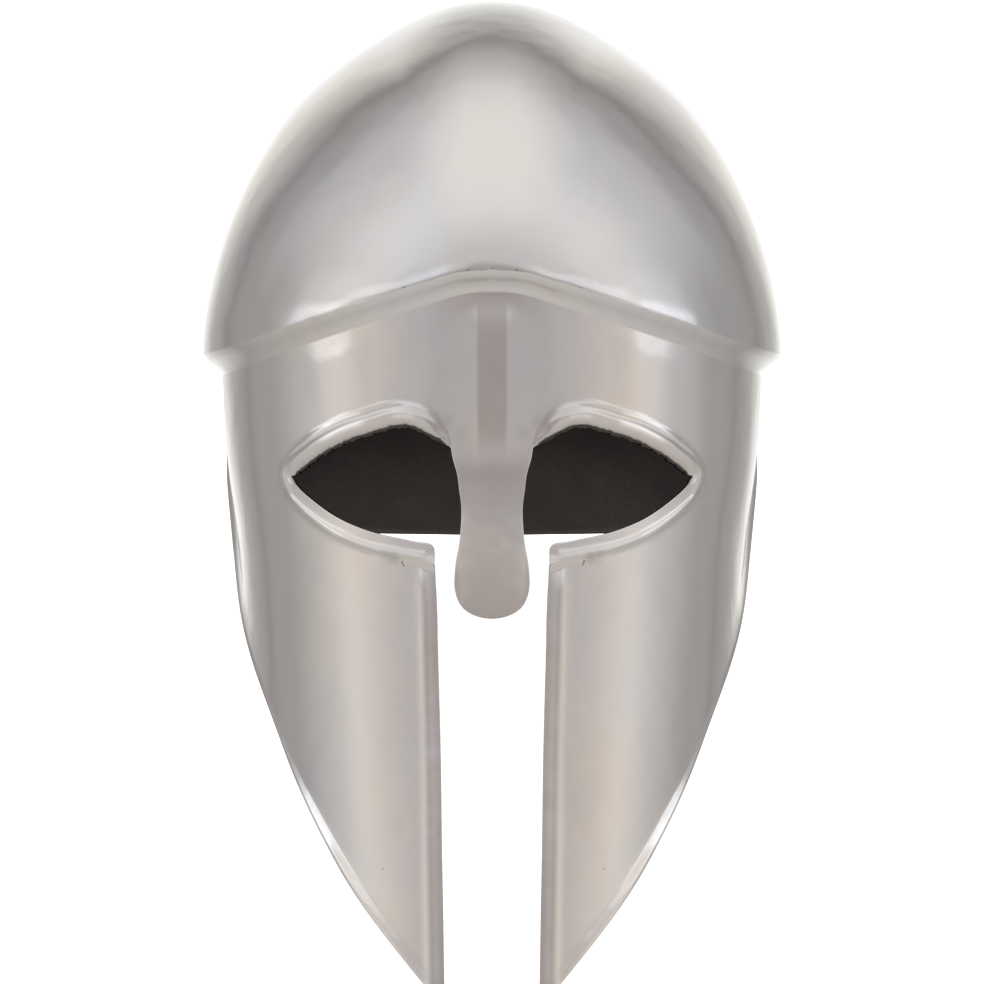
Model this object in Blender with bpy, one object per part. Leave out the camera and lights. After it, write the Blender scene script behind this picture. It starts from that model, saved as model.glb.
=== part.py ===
"""Tall steel helmet with eye openings, a nasal bar, long cheek plates and a flared neck guard.

The helmet is shaped upright (front towards -Y, tips of the cheek plates at height zero) and is then
leaned back until it stands by itself on both cheek tips and the middle of the neck rim.
"""
import math

import bmesh
import bpy
import numpy as np
from mathutils import Matrix, Vector

MM = 0.001

# Sheet and fit
WALL = 1.2 * MM
SEAM = 0.3 * MM

# Skull: sizes of the overhanging edge and of the dome above it
SKULL_HALF_WIDTH = 102.5 * MM
SKULL_FRONT_REACH = 121.0 * MM
SKULL_REAR_REACH = 118.0 * MM
SKULL_SQUARENESS = 2.15
APEX_HEIGHT = 346.8 * MM
APEX_SETBACK = 12.0 * MM
EDGE_HEIGHT_FRONT = 244.0 * MM
EDGE_HEIGHT_SIDE = 219.1 * MM
EDGE_HEIGHT_REAR = 206.0 * MM
COVE_DROP = 7.2 * MM
DOME_ROUNDNESS_TOP = 1.33
DOME_ROUNDNESS_SIDE = 1.74

# Wall below the skull: half width and front reach at the level of the cove
WALL_HALF_WIDTH = 95.8 * MM
WALL_FRONT_REACH = 115.0 * MM
WALL_REAR_REACH = 111.0 * MM
WALL_SQUARENESS = 2.3
WALL_HEIGHT = 237.0 * MM

# Face
EYE_HALF_SPAN = 66.6 * MM
EYE_CORNER_HEIGHT = 176.4 * MM
NOSE_HALF_WIDTH = 12.4 * MM
NOSE_BOTTOM = 129.0 * MM
NOSE_FORWARD = 2.5 * MM
RIDGE_HALF_WIDTH = 4.7 * MM
RIDGE_RISE = 0.7 * MM
LID_BAND = 4.6 * MM
LID_RISE = 0.9 * MM
CHEEK_BAND = 4.2 * MM
CHEEK_RISE = 0.7 * MM
REAR_FLARE_BAND = 6.5 * MM
REAR_FLARE_RISE = 2.6 * MM

# Neck
NOTCH_AZIMUTH = 108.0
NOTCH_HEIGHT = 190.5 * MM
NAPE_HEIGHT = 154.5 * MM
NAPE_REACH = 147.0 * MM
NAPE_BEAD = 1.1 * MM
NAPE_BAND = 4.5 * MM

# Standing flats: how much of each tip and of the rim the standing plane takes off
FLAT_CUT = 0.6 * MM

# Height of the brow edge, from the middle to the side: share of the half width, share of the rise
BROW_ROWS = (
    {"across": 0.000, "rise": 1.000},
    {"across": 0.085, "rise": 0.985},
    {"across": 0.167, "rise": 0.905},
    {"across": 0.296, "rise": 0.745},
    {"across": 0.626, "rise": 0.350},
    {"across": 0.840, "rise": 0.095},
    {"across": 0.940, "rise": 0.020},
    {"across": 1.000, "rise": 0.000},
)
# Hollow of the cove: share of the way in, share of the way down
COVE_ROWS = (
    {"inward": 0.28, "down": 0.26},
    {"inward": 0.66, "down": 0.45},
    {"inward": 0.89, "down": 0.74},
    {"inward": 1.00, "down": 1.00},
)
# Wall sections, bottom to top: share of the wall height, then shares of the half width and front reach
WALL_ROWS = (
    {"height": 0.000, "half_width": 0.830, "front": 1.030},
    {"height": 0.211, "half_width": 0.872, "front": 1.009},
    {"height": 0.422, "half_width": 0.906, "front": 0.983},
    {"height": 0.557, "half_width": 0.923, "front": 0.973},
    {"height": 0.620, "half_width": 0.931, "front": 0.970},
    {"height": 0.679, "half_width": 0.946, "front": 0.971},
    {"height": 0.738, "half_width": 0.968, "front": 0.974},
    {"height": 0.793, "half_width": 0.983, "front": 0.979},
    {"height": 0.852, "half_width": 0.992, "front": 0.987},
    {"height": 1.000, "half_width": 1.000, "front": 1.000},
)
# Rear profile of the neck: height and reach as shares between the rim (0) and the cove (1)
NECK_ROWS = (
    {"height": 0.00, "flare": 1.000},
    {"height": 0.22, "flare": 0.670},
    {"height": 0.45, "flare": 0.360},
    {"height": 0.70, "flare": 0.120},
    {"height": 1.00, "flare": 0.000},
)
# Upper lid from the inner to the outer corner: shares of the eye's half span and of the corner's height
UPPER_LID_ROWS = (
    {"across": 0.204, "height": 1.052},
    {"across": 0.229, "height": 1.061},
    {"across": 0.259, "height": 1.069},
    {"across": 0.308, "height": 1.079},
    {"across": 0.358, "height": 1.089},
    {"across": 0.408, "height": 1.096},
    {"across": 0.458, "height": 1.097},
    {"across": 0.508, "height": 1.094},
    {"across": 0.609, "height": 1.083},
    {"across": 0.711, "height": 1.071},
    {"across": 0.813, "height": 1.053},
    {"across": 0.865, "height": 1.042},
    {"across": 0.917, "height": 1.028},
    {"across": 0.960, "height": 1.017},
    {"across": 0.988, "height": 1.008},
    {"across": 1.000, "height": 1.000},
)
# Lower lid from the front corner of the cheek to the outer corner of the eye
LOWER_LID_ROWS = (
    {"across": 0.288, "height": 0.862},
    {"across": 0.304, "height": 0.870},
    {"across": 0.354, "height": 0.875},
    {"across": 0.454, "height": 0.882},
    {"across": 0.560, "height": 0.890},
    {"across": 0.661, "height": 0.902},
    {"across": 0.763, "height": 0.919},
    {"across": 0.866, "height": 0.944},
    {"across": 0.919, "height": 0.961},
    {"across": 0.960, "height": 0.979},
    {"across": 0.990, "height": 0.990},
    {"across": 1.000, "height": 1.000},
)
# Front edge of the cheek plate from its front corner down to the tip
CHEEK_FRONT_ROWS = (
    {"across": 0.288, "height": 0.862},
    {"across": 0.284, "height": 0.813},
    {"across": 0.276, "height": 0.766},
    {"across": 0.271, "height": 0.691},
    {"across": 0.266, "height": 0.616},
    {"across": 0.258, "height": 0.504},
    {"across": 0.253, "height": 0.392},
    {"across": 0.249, "height": 0.280},
    {"across": 0.245, "height": 0.205},
    {"across": 0.241, "height": 0.112},
    {"across": 0.236, "height": 0.002},
)
# Side of the nasal bar from its rounded end up to the inner corner of the eye: shares of the bar's
# half width and of the height between the bar's end (0) and the inner corner (1)
NOSE_ROWS = (
    {"across": 0.948, "height": 0.134},
    {"across": 0.990, "height": 0.180},
    {"across": 1.000, "height": 0.235},
    {"across": 0.960, "height": 0.345},
    {"across": 0.907, "height": 0.403},
    {"across": 0.839, "height": 0.520},
    {"across": 0.839, "height": 0.697},
    {"across": 0.879, "height": 0.755},
    {"across": 0.907, "height": 0.813},
    {"across": 0.960, "height": 0.871},
    {"across": 1.040, "height": 0.930},
    {"across": 1.095, "height": 1.000},
)
# Rounded end of the nasal bar from its middle to its side
NOSE_END_ROWS = (
    {"across": 0.000, "height": 0.000},
    {"across": 0.330, "height": 0.010},
    {"across": 0.600, "height": 0.034},
    {"across": 0.780, "height": 0.064},
    {"across": 0.880, "height": 0.096},
    {"across": 0.948, "height": 0.134},
)
# Rear edge of the cheek plate from the tip to the notch: degrees round from the front, share of the
# notch's height
CHEEK_REAR_ROWS = (
    {"azimuth": 7.6, "height": 0.002},
    {"azimuth": 16.8, "height": 0.111},
    {"azimuth": 25.3, "height": 0.212},
    {"azimuth": 33.2, "height": 0.312},
    {"azimuth": 41.7, "height": 0.414},
    {"azimuth": 51.3, "height": 0.517},
    {"azimuth": 65.5, "height": 0.620},
    {"azimuth": 83.0, "height": 0.740},
    {"azimuth": 97.0, "height": 0.865},
    {"azimuth": NOTCH_AZIMUTH, "height": 1.000},
)
# Rim of the neck guard from the notch to the middle of the nape: shares of the way round and down
NAPE_ROWS = (
    {"round": 0.00, "down": 0.00},
    {"round": 0.16, "down": 0.34},
    {"round": 0.36, "down": 0.70},
    {"round": 0.58, "down": 0.93},
    {"round": 0.78, "down": 0.99},
    {"round": 1.00, "down": 1.00},
)

# Mesh steps
DOME_STEPS = 22
MERGE = 0.02 * MM


def column(rows, name, scale=1.0):
    """Return one named column of a table as an array, times a size."""
    return np.array([row[name] for row in rows], float) * scale


def spline(knots, values):
    """Return a function for the natural cubic curve through the given values."""
    knots = np.asarray(knots, float)
    values = np.asarray(values, float)
    count = len(knots)
    step = np.diff(knots)
    system = np.eye(count)
    right = np.zeros(count)
    for i in range(1, count - 1):
        system[i, i - 1] = step[i - 1]
        system[i, i] = 2.0 * (step[i - 1] + step[i])
        system[i, i + 1] = step[i]
        right[i] = 6.0 * ((values[i + 1] - values[i]) / step[i] - (values[i] - values[i - 1]) / step[i - 1])
    bend = np.linalg.solve(system, right)

    def curve(at):
        at = np.clip(np.asarray(at, float), knots[0], knots[-1])
        k = np.clip(np.searchsorted(knots, at) - 1, 0, count - 2)
        ahead = knots[k + 1] - at
        behind = at - knots[k]
        cubic = (bend[k] * ahead ** 3 + bend[k + 1] * behind ** 3) / (6.0 * step[k])
        low = (values[k] / step[k] - bend[k] * step[k] / 6.0) * ahead
        high = (values[k + 1] / step[k] - bend[k + 1] * step[k] / 6.0) * behind
        return cubic + low + high

    return curve


def ease(share):
    """Return a smooth step from 0 to 1 with flat ends."""
    share = np.clip(share, 0.0, 1.0)
    return share ** 3 * (share * (6.0 * share - 15.0) + 10.0)


BROW = spline(column(BROW_ROWS, "across"), column(BROW_ROWS, "rise"))
HALF_WIDTH = spline(column(WALL_ROWS, "height", WALL_HEIGHT), column(WALL_ROWS, "half_width", WALL_HALF_WIDTH))
FRONT = spline(column(WALL_ROWS, "height", WALL_HEIGHT), column(WALL_ROWS, "front", WALL_FRONT_REACH))
FLARE = spline(column(NECK_ROWS, "height"), column(NECK_ROWS, "flare"))
NAPE = spline(column(NAPE_ROWS, "round"), column(NAPE_ROWS, "down"))


def polar(azimuth, half_width, reach, squareness):
    """Return the distance from the axis to a rounded outline in a direction (0 is the front)."""
    side = (np.abs(np.sin(azimuth)) / half_width) ** squareness
    ahead = (np.abs(np.cos(azimuth)) / reach) ** squareness
    return (side + ahead) ** (-1.0 / squareness)


def edge_height(azimuth):
    """Return the height of the skull's sharp edge in a direction."""
    reach = polar(azimuth, SKULL_HALF_WIDTH, SKULL_FRONT_REACH, SKULL_SQUARENESS)
    across = np.clip(reach * np.sin(azimuth) / SKULL_HALF_WIDTH, 0.0, 1.0)
    front = EDGE_HEIGHT_SIDE + (EDGE_HEIGHT_FRONT - EDGE_HEIGHT_SIDE) * BROW(across)
    rear = EDGE_HEIGHT_SIDE + (EDGE_HEIGHT_REAR - EDGE_HEIGHT_SIDE) * ease((azimuth - math.pi / 2.0) / (math.pi / 2.0))
    return np.where(azimuth <= math.pi / 2.0, front, rear)


def cove_height(azimuth):
    """Return the height of the cove's lower edge, where the skull ends."""
    return edge_height(azimuth) - COVE_DROP


def rear_reach(height):
    """Return how far back the wall reaches at a height."""
    top = EDGE_HEIGHT_REAR - COVE_DROP
    share = np.clip((height - NAPE_HEIGHT) / (top - NAPE_HEIGHT), 0.0, 1.0)
    return WALL_REAR_REACH + (NAPE_REACH - WALL_REAR_REACH) * FLARE(share)


def wall_points(azimuth, height):
    """Return points on the outside of the wall below the skull."""
    front = FRONT(height)
    turn = ease((azimuth - math.radians(75.0)) / math.radians(90.0))
    reach = front + (rear_reach(height) - front) * turn
    distance = polar(azimuth, HALF_WIDTH(height), reach, WALL_SQUARENESS)
    return np.stack([distance * np.sin(azimuth), -distance * np.cos(azimuth), height + 0.0 * azimuth], axis=-1)


def azimuth_at(across, height):
    """Return the direction in which the wall is a given distance from the middle plane."""
    low = np.zeros_like(across)
    high = np.full_like(across, math.pi / 2.0)
    for _ in range(40):
        middle = (low + high) / 2.0
        short = wall_points(middle, height)[..., 0] < across
        low = np.where(short, middle, low)
        high = np.where(short, high, middle)
    return low


# Steps of the mesh near the eye rims, the rear edge, the cheek's front edge and the nape rim
LID_STEPS = (0.045, 0.09, 0.13)
REAR_STEPS = (0.025, 0.06)
CHEEK_STEPS = (0.045, 0.1)
RIM_STEPS = (0.06, 0.13)
ABOVE_CORNER_AZIMUTH = 46.0
# How far round from the joint of face and neck guard their edges are kept square to the wall
JOINT_REACH = 0.04


class Outline:
    """A smooth line on the wall, held as direction and height against its share of length."""

    def __init__(self, azimuth, height):
        start = wall_points(azimuth, height)
        length = np.concatenate([[0.0], np.cumsum(np.linalg.norm(np.diff(start, axis=0), axis=1))])
        length = length / length[-1]
        self.azimuth = spline(length, azimuth)
        self.height = spline(length, height)

    def __call__(self, share):
        return np.stack([self.azimuth(share), self.height(share)], axis=-1)


def outline_from_front(across, height):
    """Return the outline through points given by their distance from the middle plane."""
    return Outline(azimuth_at(across, height), height)


def line_between(start, end):
    """Return a straight outline between two direction and height pairs."""
    share = np.linspace(0.0, 1.0, 9)
    return Outline(start[0] + (end[0] - start[0]) * share, start[1] + (end[1] - start[1]) * share)


def line_through(outline, start_azimuth):
    """Return the part of an outline that starts in a given direction."""
    share = np.linspace(0.0, 1.0, 400)
    pairs = outline(share)
    keep = pairs[:, 0] > start_azimuth
    first = np.array([start_azimuth, np.interp(start_azimuth, pairs[:, 0], pairs[:, 1])])
    kept = np.concatenate([[first], pairs[keep][5::12], [pairs[-1]]])
    return Outline(kept[:, 0], kept[:, 1])


def cove_line(start_azimuth, end_azimuth):
    """Return the wall's top line, one seam below the skull, between two directions."""
    azimuth = np.linspace(start_azimuth, end_azimuth, 41)
    return Outline(azimuth, cove_height(azimuth) - SEAM)


def coons(bottom, top, left, right):
    """Return a function that fills the patch between four outlines."""
    def fill(u, v):
        across = (1.0 - v)[:, None] * bottom(u) + v[:, None] * top(u)
        along = (1.0 - u)[:, None] * left(v) + u[:, None] * right(v)
        corner = ((1.0 - u) * (1.0 - v))[:, None] * bottom(0.0) + (u * (1.0 - v))[:, None] * bottom(1.0)
        corner = corner + ((1.0 - u) * v)[:, None] * top(0.0) + (u * v)[:, None] * top(1.0)
        return across + along - corner

    return fill


def nose_height(share):
    """Return a height on the nasal bar from its share between end and inner corner."""
    inner = UPPER_LID_ROWS[0]["height"] * EYE_CORNER_HEIGHT
    return NOSE_BOTTOM + (inner - NOSE_BOTTOM) * share


def face_outlines():
    """Return the named outlines of one half of the face."""
    notch = (math.radians(NOTCH_AZIMUTH), NOTCH_HEIGHT)
    lines = {}
    for name, rows in (("upper_lid", UPPER_LID_ROWS), ("lower_lid", LOWER_LID_ROWS), ("cheek_front", CHEEK_FRONT_ROWS)):
        lines[name] = outline_from_front(column(rows, "across", EYE_HALF_SPAN), column(rows, "height", EYE_CORNER_HEIGHT))
    for name, rows in (("nose_side", NOSE_ROWS), ("nose_end", NOSE_END_ROWS)):
        lines[name] = outline_from_front(column(rows, "across", NOSE_HALF_WIDTH), nose_height(column(rows, "height")))
    rear = column(CHEEK_REAR_ROWS, "azimuth")
    lines["cheek_rear"] = Outline(np.radians(rear), column(CHEEK_REAR_ROWS, "height", NOTCH_HEIGHT))
    share = np.linspace(0.0, 1.0, 21)
    lines["nape"] = Outline(notch[0] + (math.pi - notch[0]) * share, NOTCH_HEIGHT + (NAPE_HEIGHT - NOTCH_HEIGHT) * NAPE(share))
    return lines


def samples(outline, count=160):
    """Return points along an outline, for measuring distances to it."""
    pair = outline(np.linspace(0.0, 1.0, count))
    return wall_points(pair[:, 0], pair[:, 1])


def distance_to(points, line):
    """Return the distance from each point to the nearest sample of a line."""
    return np.min(np.linalg.norm(points[:, None, :] - line[None, :, :], axis=2), axis=1)


def band(distance, width, rise):
    """Return the rise of an edge band: full over its inner two thirds, then down to nothing."""
    return rise * (1.0 - ease((distance - 0.62 * width) / (0.6 * width)))


def outward(azimuth, height):
    """Return unit vectors that point out of the wall."""
    small = 1e-4
    round_step = wall_points(azimuth + small, height) - wall_points(azimuth - small, height)
    up_step = wall_points(azimuth, height + small) - wall_points(azimuth, height - small)
    normal = np.cross(round_step, up_step)
    return normal / np.linalg.norm(normal, axis=-1, keepdims=True)


def face_relief(points, lines):
    """Return how far the bands along the eyes, the cheek edges and the ridge stand out of the wall."""
    lids = np.concatenate([samples(lines["upper_lid"])[22:], samples(lines["lower_lid"])])
    fade = ease((points[:, 0] - 0.27 * EYE_HALF_SPAN) / (0.12 * EYE_HALF_SPAN))
    relief = band(distance_to(points, lids), LID_BAND, LID_RISE) * fade
    relief = np.maximum(relief, band(distance_to(points, samples(lines["cheek_front"])), CHEEK_BAND, CHEEK_RISE))
    growing = ease((points[:, 2] / NOTCH_HEIGHT - 0.45) / 0.4)
    flare = CHEEK_RISE + (REAR_FLARE_RISE - CHEEK_RISE) * growing
    relief = np.maximum(relief, flare * (1.0 - ease(distance_to(points, samples(lines["cheek_rear"])) / REAR_FLARE_BAND)))
    ridge = 1.0 - ease((np.abs(points[:, 0]) - RIDGE_HALF_WIDTH) / (0.8 * RIDGE_HALF_WIDTH))
    above = ease((points[:, 2] - 1.07 * EYE_CORNER_HEIGHT) / (0.05 * EYE_CORNER_HEIGHT))
    return np.maximum(relief, RIDGE_RISE * np.maximum(ridge * above, (1.0 - above) * (points[:, 0] < 1.2 * NOSE_HALF_WIDTH)))


def face_surface(pairs, lines):
    """Return the shaped outside of the face for direction and height pairs."""
    points = wall_points(pairs[:, 0], pairs[:, 1])
    points = points + outward(pairs[:, 0], pairs[:, 1]) * face_relief(points, lines)[:, None]
    inner = nose_height(1.0)
    on_bar = (points[:, 0] < 1.3 * NOSE_HALF_WIDTH) & (points[:, 2] < inner)
    forward = NOSE_FORWARD * ease((inner - points[:, 2]) / (inner - NOSE_BOTTOM))
    points[:, 1] -= np.where(on_bar, forward, 0.0)
    return points


def neck_surface(pairs, lines):
    """Return the shaped outside of the neck guard with the bead along its rim."""
    points = wall_points(pairs[:, 0], pairs[:, 1])
    near_notch = 1.0 - ease((pairs[:, 0] - math.radians(NOTCH_AZIMUTH)) / math.radians(22.0))
    rise = NAPE_BEAD + (REAR_FLARE_RISE - NAPE_BEAD) * near_notch
    width = NAPE_BAND + (REAR_FLARE_BAND - NAPE_BAND) * near_notch
    distance = distance_to(points, samples(lines["nape"]))
    return points + outward(pairs[:, 0], pairs[:, 1]) * (rise * (1.0 - ease(distance / width)))[:, None]


def mapped_grid(bm, across, along, surface):
    """Add a grid with the given shares across and along, and put its points on a surface."""
    made = bmesh.ops.create_grid(bm, x_segments=len(across) - 1, y_segments=len(along) - 1, size=0.5)
    verts = made["verts"]
    u = np.interp([v.co.x + 0.5 for v in verts], np.linspace(0.0, 1.0, len(across)), across)
    v = np.interp([v.co.y + 0.5 for v in verts], np.linspace(0.0, 1.0, len(along)), along)
    for vert, point in zip(verts, surface(u, v)):
        vert.co = point
    return verts


def graded(count, near=(), far=()):
    """Return shares from 0 to 1: the near steps, even ones, then the far steps."""
    start = near[-1] if near else 0.0
    stop = 1.0 - far[-1] if far else 1.0
    shares = list(near[:-1]) + list(np.linspace(start, stop, count + 1))
    if near:
        shares = [0.0] + shares
    if far:
        shares = shares + [1.0 - step for step in reversed(far[:-1])] + [1.0]
    return np.array(shares)


def mirror_half(bm):
    """Complete a half built on the +X side."""
    bmesh.ops.remove_doubles(bm, verts=bm.verts, dist=MERGE)
    for vert in bm.verts:
        if abs(vert.co.x) < MERGE:
            vert.co.x = 0.0
    bmesh.ops.mirror(bm, geom=bm.verts[:] + bm.edges[:] + bm.faces[:], matrix=Matrix.Identity(4), merge_dist=MERGE, axis="X")
    bmesh.ops.remove_doubles(bm, verts=bm.verts, dist=MERGE)


def face_out(bm):
    """Turn every face of an open sheet away from the middle of the helmet."""
    bmesh.ops.recalc_face_normals(bm, faces=bm.faces[:])
    bm.normal_update()
    middle = Vector((0.0, 0.0, 0.6 * APEX_HEIGHT))
    total = sum((face.calc_center_median() - middle).dot(face.normal) * face.calc_area() for face in bm.faces)
    if total < 0.0:
        bmesh.ops.reverse_faces(bm, faces=bm.faces[:])
    bm.normal_update()


def joint_normal(vert, joint):
    """Return the plain wall's outward direction for a rim point at the joint, or None elsewhere."""
    azimuth = math.atan2(abs(vert.co.x), -vert.co.y)
    if joint is None or not vert.is_boundary or abs(azimuth - joint) > JOINT_REACH:
        return None
    normal = outward(np.array([azimuth]), np.array([vert.co.z]))[0]
    return Vector((math.copysign(normal[0], vert.co.x), normal[1], normal[2]))


def thicken(bm, wall, joint=None):
    """Turn an open sheet into a closed wall by adding its inside and its edges."""
    face_out(bm)
    sheet = bm.faces[:]
    open_edges = [edge for edge in bm.edges if edge.is_boundary]
    inside = {}
    for vert in bm.verts[:]:
        normal = joint_normal(vert, joint) or vert.normal.copy()
        flattest = min(max(normal.dot(face.normal), 0.35) for face in vert.link_faces)
        inside[vert] = bm.verts.new(vert.co - normal * (wall / max(flattest, 0.7)))
    for face in sheet:
        bm.faces.new([inside[vert] for vert in reversed(face.verts)])
    for edge in open_edges:
        face = edge.link_faces[0]
        loop = next(loop for loop in face.loops if loop.edge == edge)
        start = loop.vert
        end = loop.link_loop_next.vert
        bm.faces.new([end, start, inside[start], inside[end]])
    bm.normal_update()


def dome_points(azimuth, share):
    """Return points on the outside of the dome: share 0 is the top, share 1 the sharp edge."""
    angle = share * math.pi / 2.0
    roundness = DOME_ROUNDNESS_TOP + (DOME_ROUNDNESS_SIDE - DOME_ROUNDNESS_TOP) * ease((angle - 0.16) / 0.75)
    out = np.sin(angle)
    down = 1.0 - np.clip(np.cos(angle), 0.0, 1.0) ** (2.0 / roundness)
    reach = np.where(azimuth <= math.pi / 2.0, SKULL_FRONT_REACH, SKULL_REAR_REACH)
    distance = polar(azimuth, SKULL_HALF_WIDTH, reach, SKULL_SQUARENESS) * out
    height = APEX_HEIGHT - (APEX_HEIGHT - edge_height(azimuth)) * down
    setback = APEX_SETBACK * (1.0 - out ** 1.6)
    return np.stack([distance * np.sin(azimuth), setback - distance * np.cos(azimuth), height], axis=-1)


def cove_points(azimuth, inward, down):
    """Return points on the hollow cove between the sharp edge and the wall."""
    edge = dome_points(azimuth, np.ones_like(azimuth))
    foot = wall_points(azimuth, cove_height(azimuth))
    point = edge + (foot - edge) * inward
    point[:, 2] = edge[:, 2] + (foot[:, 2] - edge[:, 2]) * down
    return point


def rim_azimuth(points):
    """Return the direction of points on the +X or -X side, folded to the +X side."""
    return np.arctan2(np.abs(points[:, 0]), -points[:, 1])


def build_skull():
    """Build the dome, its sharp overhanging edge and the cove below it."""
    bm = bmesh.new()
    made = bmesh.ops.create_grid(bm, x_segments=DOME_STEPS, y_segments=DOME_STEPS, size=1.0)
    verts = made["verts"]
    u = np.array([vert.co.x for vert in verts])
    v = np.array([vert.co.y for vert in verts])
    x = u * np.sqrt(1.0 - v * v / 2.0)
    y = v * np.sqrt(1.0 - u * u / 2.0)
    share = np.clip(np.hypot(x, y), 0.0, 1.0)
    azimuth = np.arctan2(np.abs(x), -y)
    for vert, point, side in zip(verts, dome_points(azimuth, share), np.sign(x)):
        vert.co = (point[0] * (side if side else 0.0), point[1], point[2])
    ring = [edge for edge in bm.edges if edge.is_boundary]
    edge_directions = {}
    for inward, down in zip(column(COVE_ROWS, "inward"), column(COVE_ROWS, "down")):
        grown = bmesh.ops.extrude_edge_only(bm, edges=ring)["geom"]
        fresh = [item for item in grown if isinstance(item, bmesh.types.BMVert)]
        ring = [item for item in grown if isinstance(item, bmesh.types.BMEdge) and item.is_boundary]
        positions = np.array([vert.co[:] for vert in fresh])
        directions = rim_azimuth(positions)
        for vert, point, side in zip(fresh, cove_points(directions, inward, down), np.sign(positions[:, 0])):
            vert.co = (point[0] * side, point[1], point[2])
    thicken(bm, WALL)
    return bm


def build_mask():
    """Build the face: forehead, eye openings, nasal bar and cheek plates."""
    lines = face_outlines()
    inner = lines["upper_lid"](0.0)
    outer = lines["upper_lid"](1.0)
    notch = lines["cheek_rear"](1.0)
    above_inner = float(inner[0]) * 1.05
    above_outer = math.radians(ABOVE_CORNER_AZIMUTH)

    def cove_foot(azimuth):
        return azimuth, float(cove_height(np.array(azimuth))) - SEAM

    bridge = line_between((0.0, float(inner[1])), inner)
    brow_left = line_between(inner, cove_foot(above_inner))
    brow_right = line_between(outer, cove_foot(above_outer))
    temple = line_between(outer, notch)
    joint = line_between(notch, cove_foot(float(notch[0])))
    bar_middle = line_between((0.0, NOSE_BOTTOM), (0.0, float(inner[1])))
    brow_middle = line_between((0.0, float(inner[1])), cove_foot(0.0))
    up = graded(5, near=LID_STEPS)
    bar = graded(3)
    lid = graded(13)
    back = graded(8, near=LID_STEPS, far=REAR_STEPS)
    down = graded(12, near=CHEEK_STEPS)
    patches = (
        (coons(lines["nose_end"], bridge, bar_middle, lines["nose_side"]), bar, graded(11)),
        (coons(bridge, cove_line(0.0, above_inner), brow_middle, brow_left), bar, up),
        (coons(lines["upper_lid"], cove_line(above_inner, above_outer), brow_left, brow_right), lid, up),
        (coons(temple, cove_line(above_outer, float(notch[0])), brow_right, joint), back, up),
        (coons(lines["cheek_front"], temple, lines["lower_lid"], lines["cheek_rear"]), back, down),
    )
    bm = bmesh.new()
    for fill, across, along in patches:
        mapped_grid(bm, across, along, lambda u, v, fill=fill: face_surface(fill(u, v), lines))
    mirror_half(bm)
    thicken(bm, WALL, joint=math.radians(NOTCH_AZIMUTH))
    return bm


def build_neck():
    """Build the neck guard: the rear wall from joint to joint, flared to its rim."""
    lines = face_outlines()
    start = math.radians(NOTCH_AZIMUTH) + 0.5 * SEAM / SKULL_HALF_WIDTH
    rim = line_through(lines["nape"], start)
    top = cove_line(start, math.pi)
    side = line_between(rim(0.0), top(0.0))
    middle = line_between(rim(1.0), top(1.0))
    bm = bmesh.new()
    fill = coons(rim, top, side, middle)
    mapped_grid(bm, graded(14, near=(0.03,)), graded(5, near=RIM_STEPS), lambda u, v: neck_surface(fill(u, v), lines))
    mirror_half(bm)
    thicken(bm, WALL, joint=math.radians(NOTCH_AZIMUTH))
    return bm


def lean(meshes):
    """Return the angle at which tips and nape rim stand on one plane, leaning back."""
    points = {name: np.array([vert.co[:] for vert in bm.verts]) for name, bm in meshes.items()}

    def lowest(name, angle):
        return float(np.min(points[name][:, 1] * math.sin(angle) + points[name][:, 2] * math.cos(angle)))

    low = math.radians(-60.0)
    high = 0.0
    for _ in range(50):
        middle = (low + high) / 2.0
        if lowest("neck_guard", middle) < lowest("face_mask", middle):
            low = middle
        else:
            high = middle
    angle = (low + high) / 2.0
    return angle, lowest("neck_guard", angle)


def stand(meshes):
    """Lean the helmet back, cut its standing flats and put the middle of its base at the origin."""
    angle, floor = lean(meshes)
    turn = Matrix.Rotation(angle, 4, "X")
    for bm in meshes.values():
        bmesh.ops.transform(bm, matrix=turn, verts=bm.verts[:])
    level = floor + FLAT_CUT
    for bm in meshes.values():
        geometry = bm.verts[:] + bm.edges[:] + bm.faces[:]
        bmesh.ops.bisect_plane(bm, geom=geometry, plane_co=(0.0, 0.0, level), plane_no=(0.0, 0.0, 1.0), clear_inner=True, dist=1e-7)
        rims = [edge for edge in bm.edges if edge.is_boundary]
        if rims:
            bmesh.ops.holes_fill(bm, edges=rims, sides=0)
    points = np.array([vert.co[:] for bm in meshes.values() for vert in bm.verts])
    middle = (points[:, 1].min() + points[:, 1].max()) / 2.0
    shift = Matrix.Translation((0.0, -middle, -level))
    for bm in meshes.values():
        bmesh.ops.transform(bm, matrix=shift, verts=bm.verts[:])


def steel(name, roughness):
    """Make a plain polished steel material."""
    material = bpy.data.materials.new(name)
    material.use_nodes = True
    shader = material.node_tree.nodes["Principled BSDF"]
    shader.inputs["Base Color"].default_value = (0.56, 0.55, 0.53, 1.0)
    shader.inputs["Metallic"].default_value = 1.0
    shader.inputs["Roughness"].default_value = roughness
    return material


def add_object(name, bm, material):
    """Add a finished mesh to the scene as a named object."""
    bmesh.ops.recalc_face_normals(bm, faces=bm.faces[:])
    mesh = bpy.data.meshes.new(name)
    bm.to_mesh(mesh)
    bm.free()
    mesh.materials.append(material)
    part = bpy.data.objects.new(name, mesh)
    bpy.context.scene.collection.objects.link(part)
    return part


def main():
    """Build the helmet."""
    for item in list(bpy.data.objects):
        bpy.data.objects.remove(item, do_unlink=True)
    meshes = {"skull": build_skull(), "face_mask": build_mask(), "neck_guard": build_neck()}
    stand(meshes)
    finishes = {"skull": 0.24, "face_mask": 0.26, "neck_guard": 0.3}
    for name, bm in meshes.items():
        add_object(name, bm, steel(name + "_steel", finishes[name]))


main()
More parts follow.
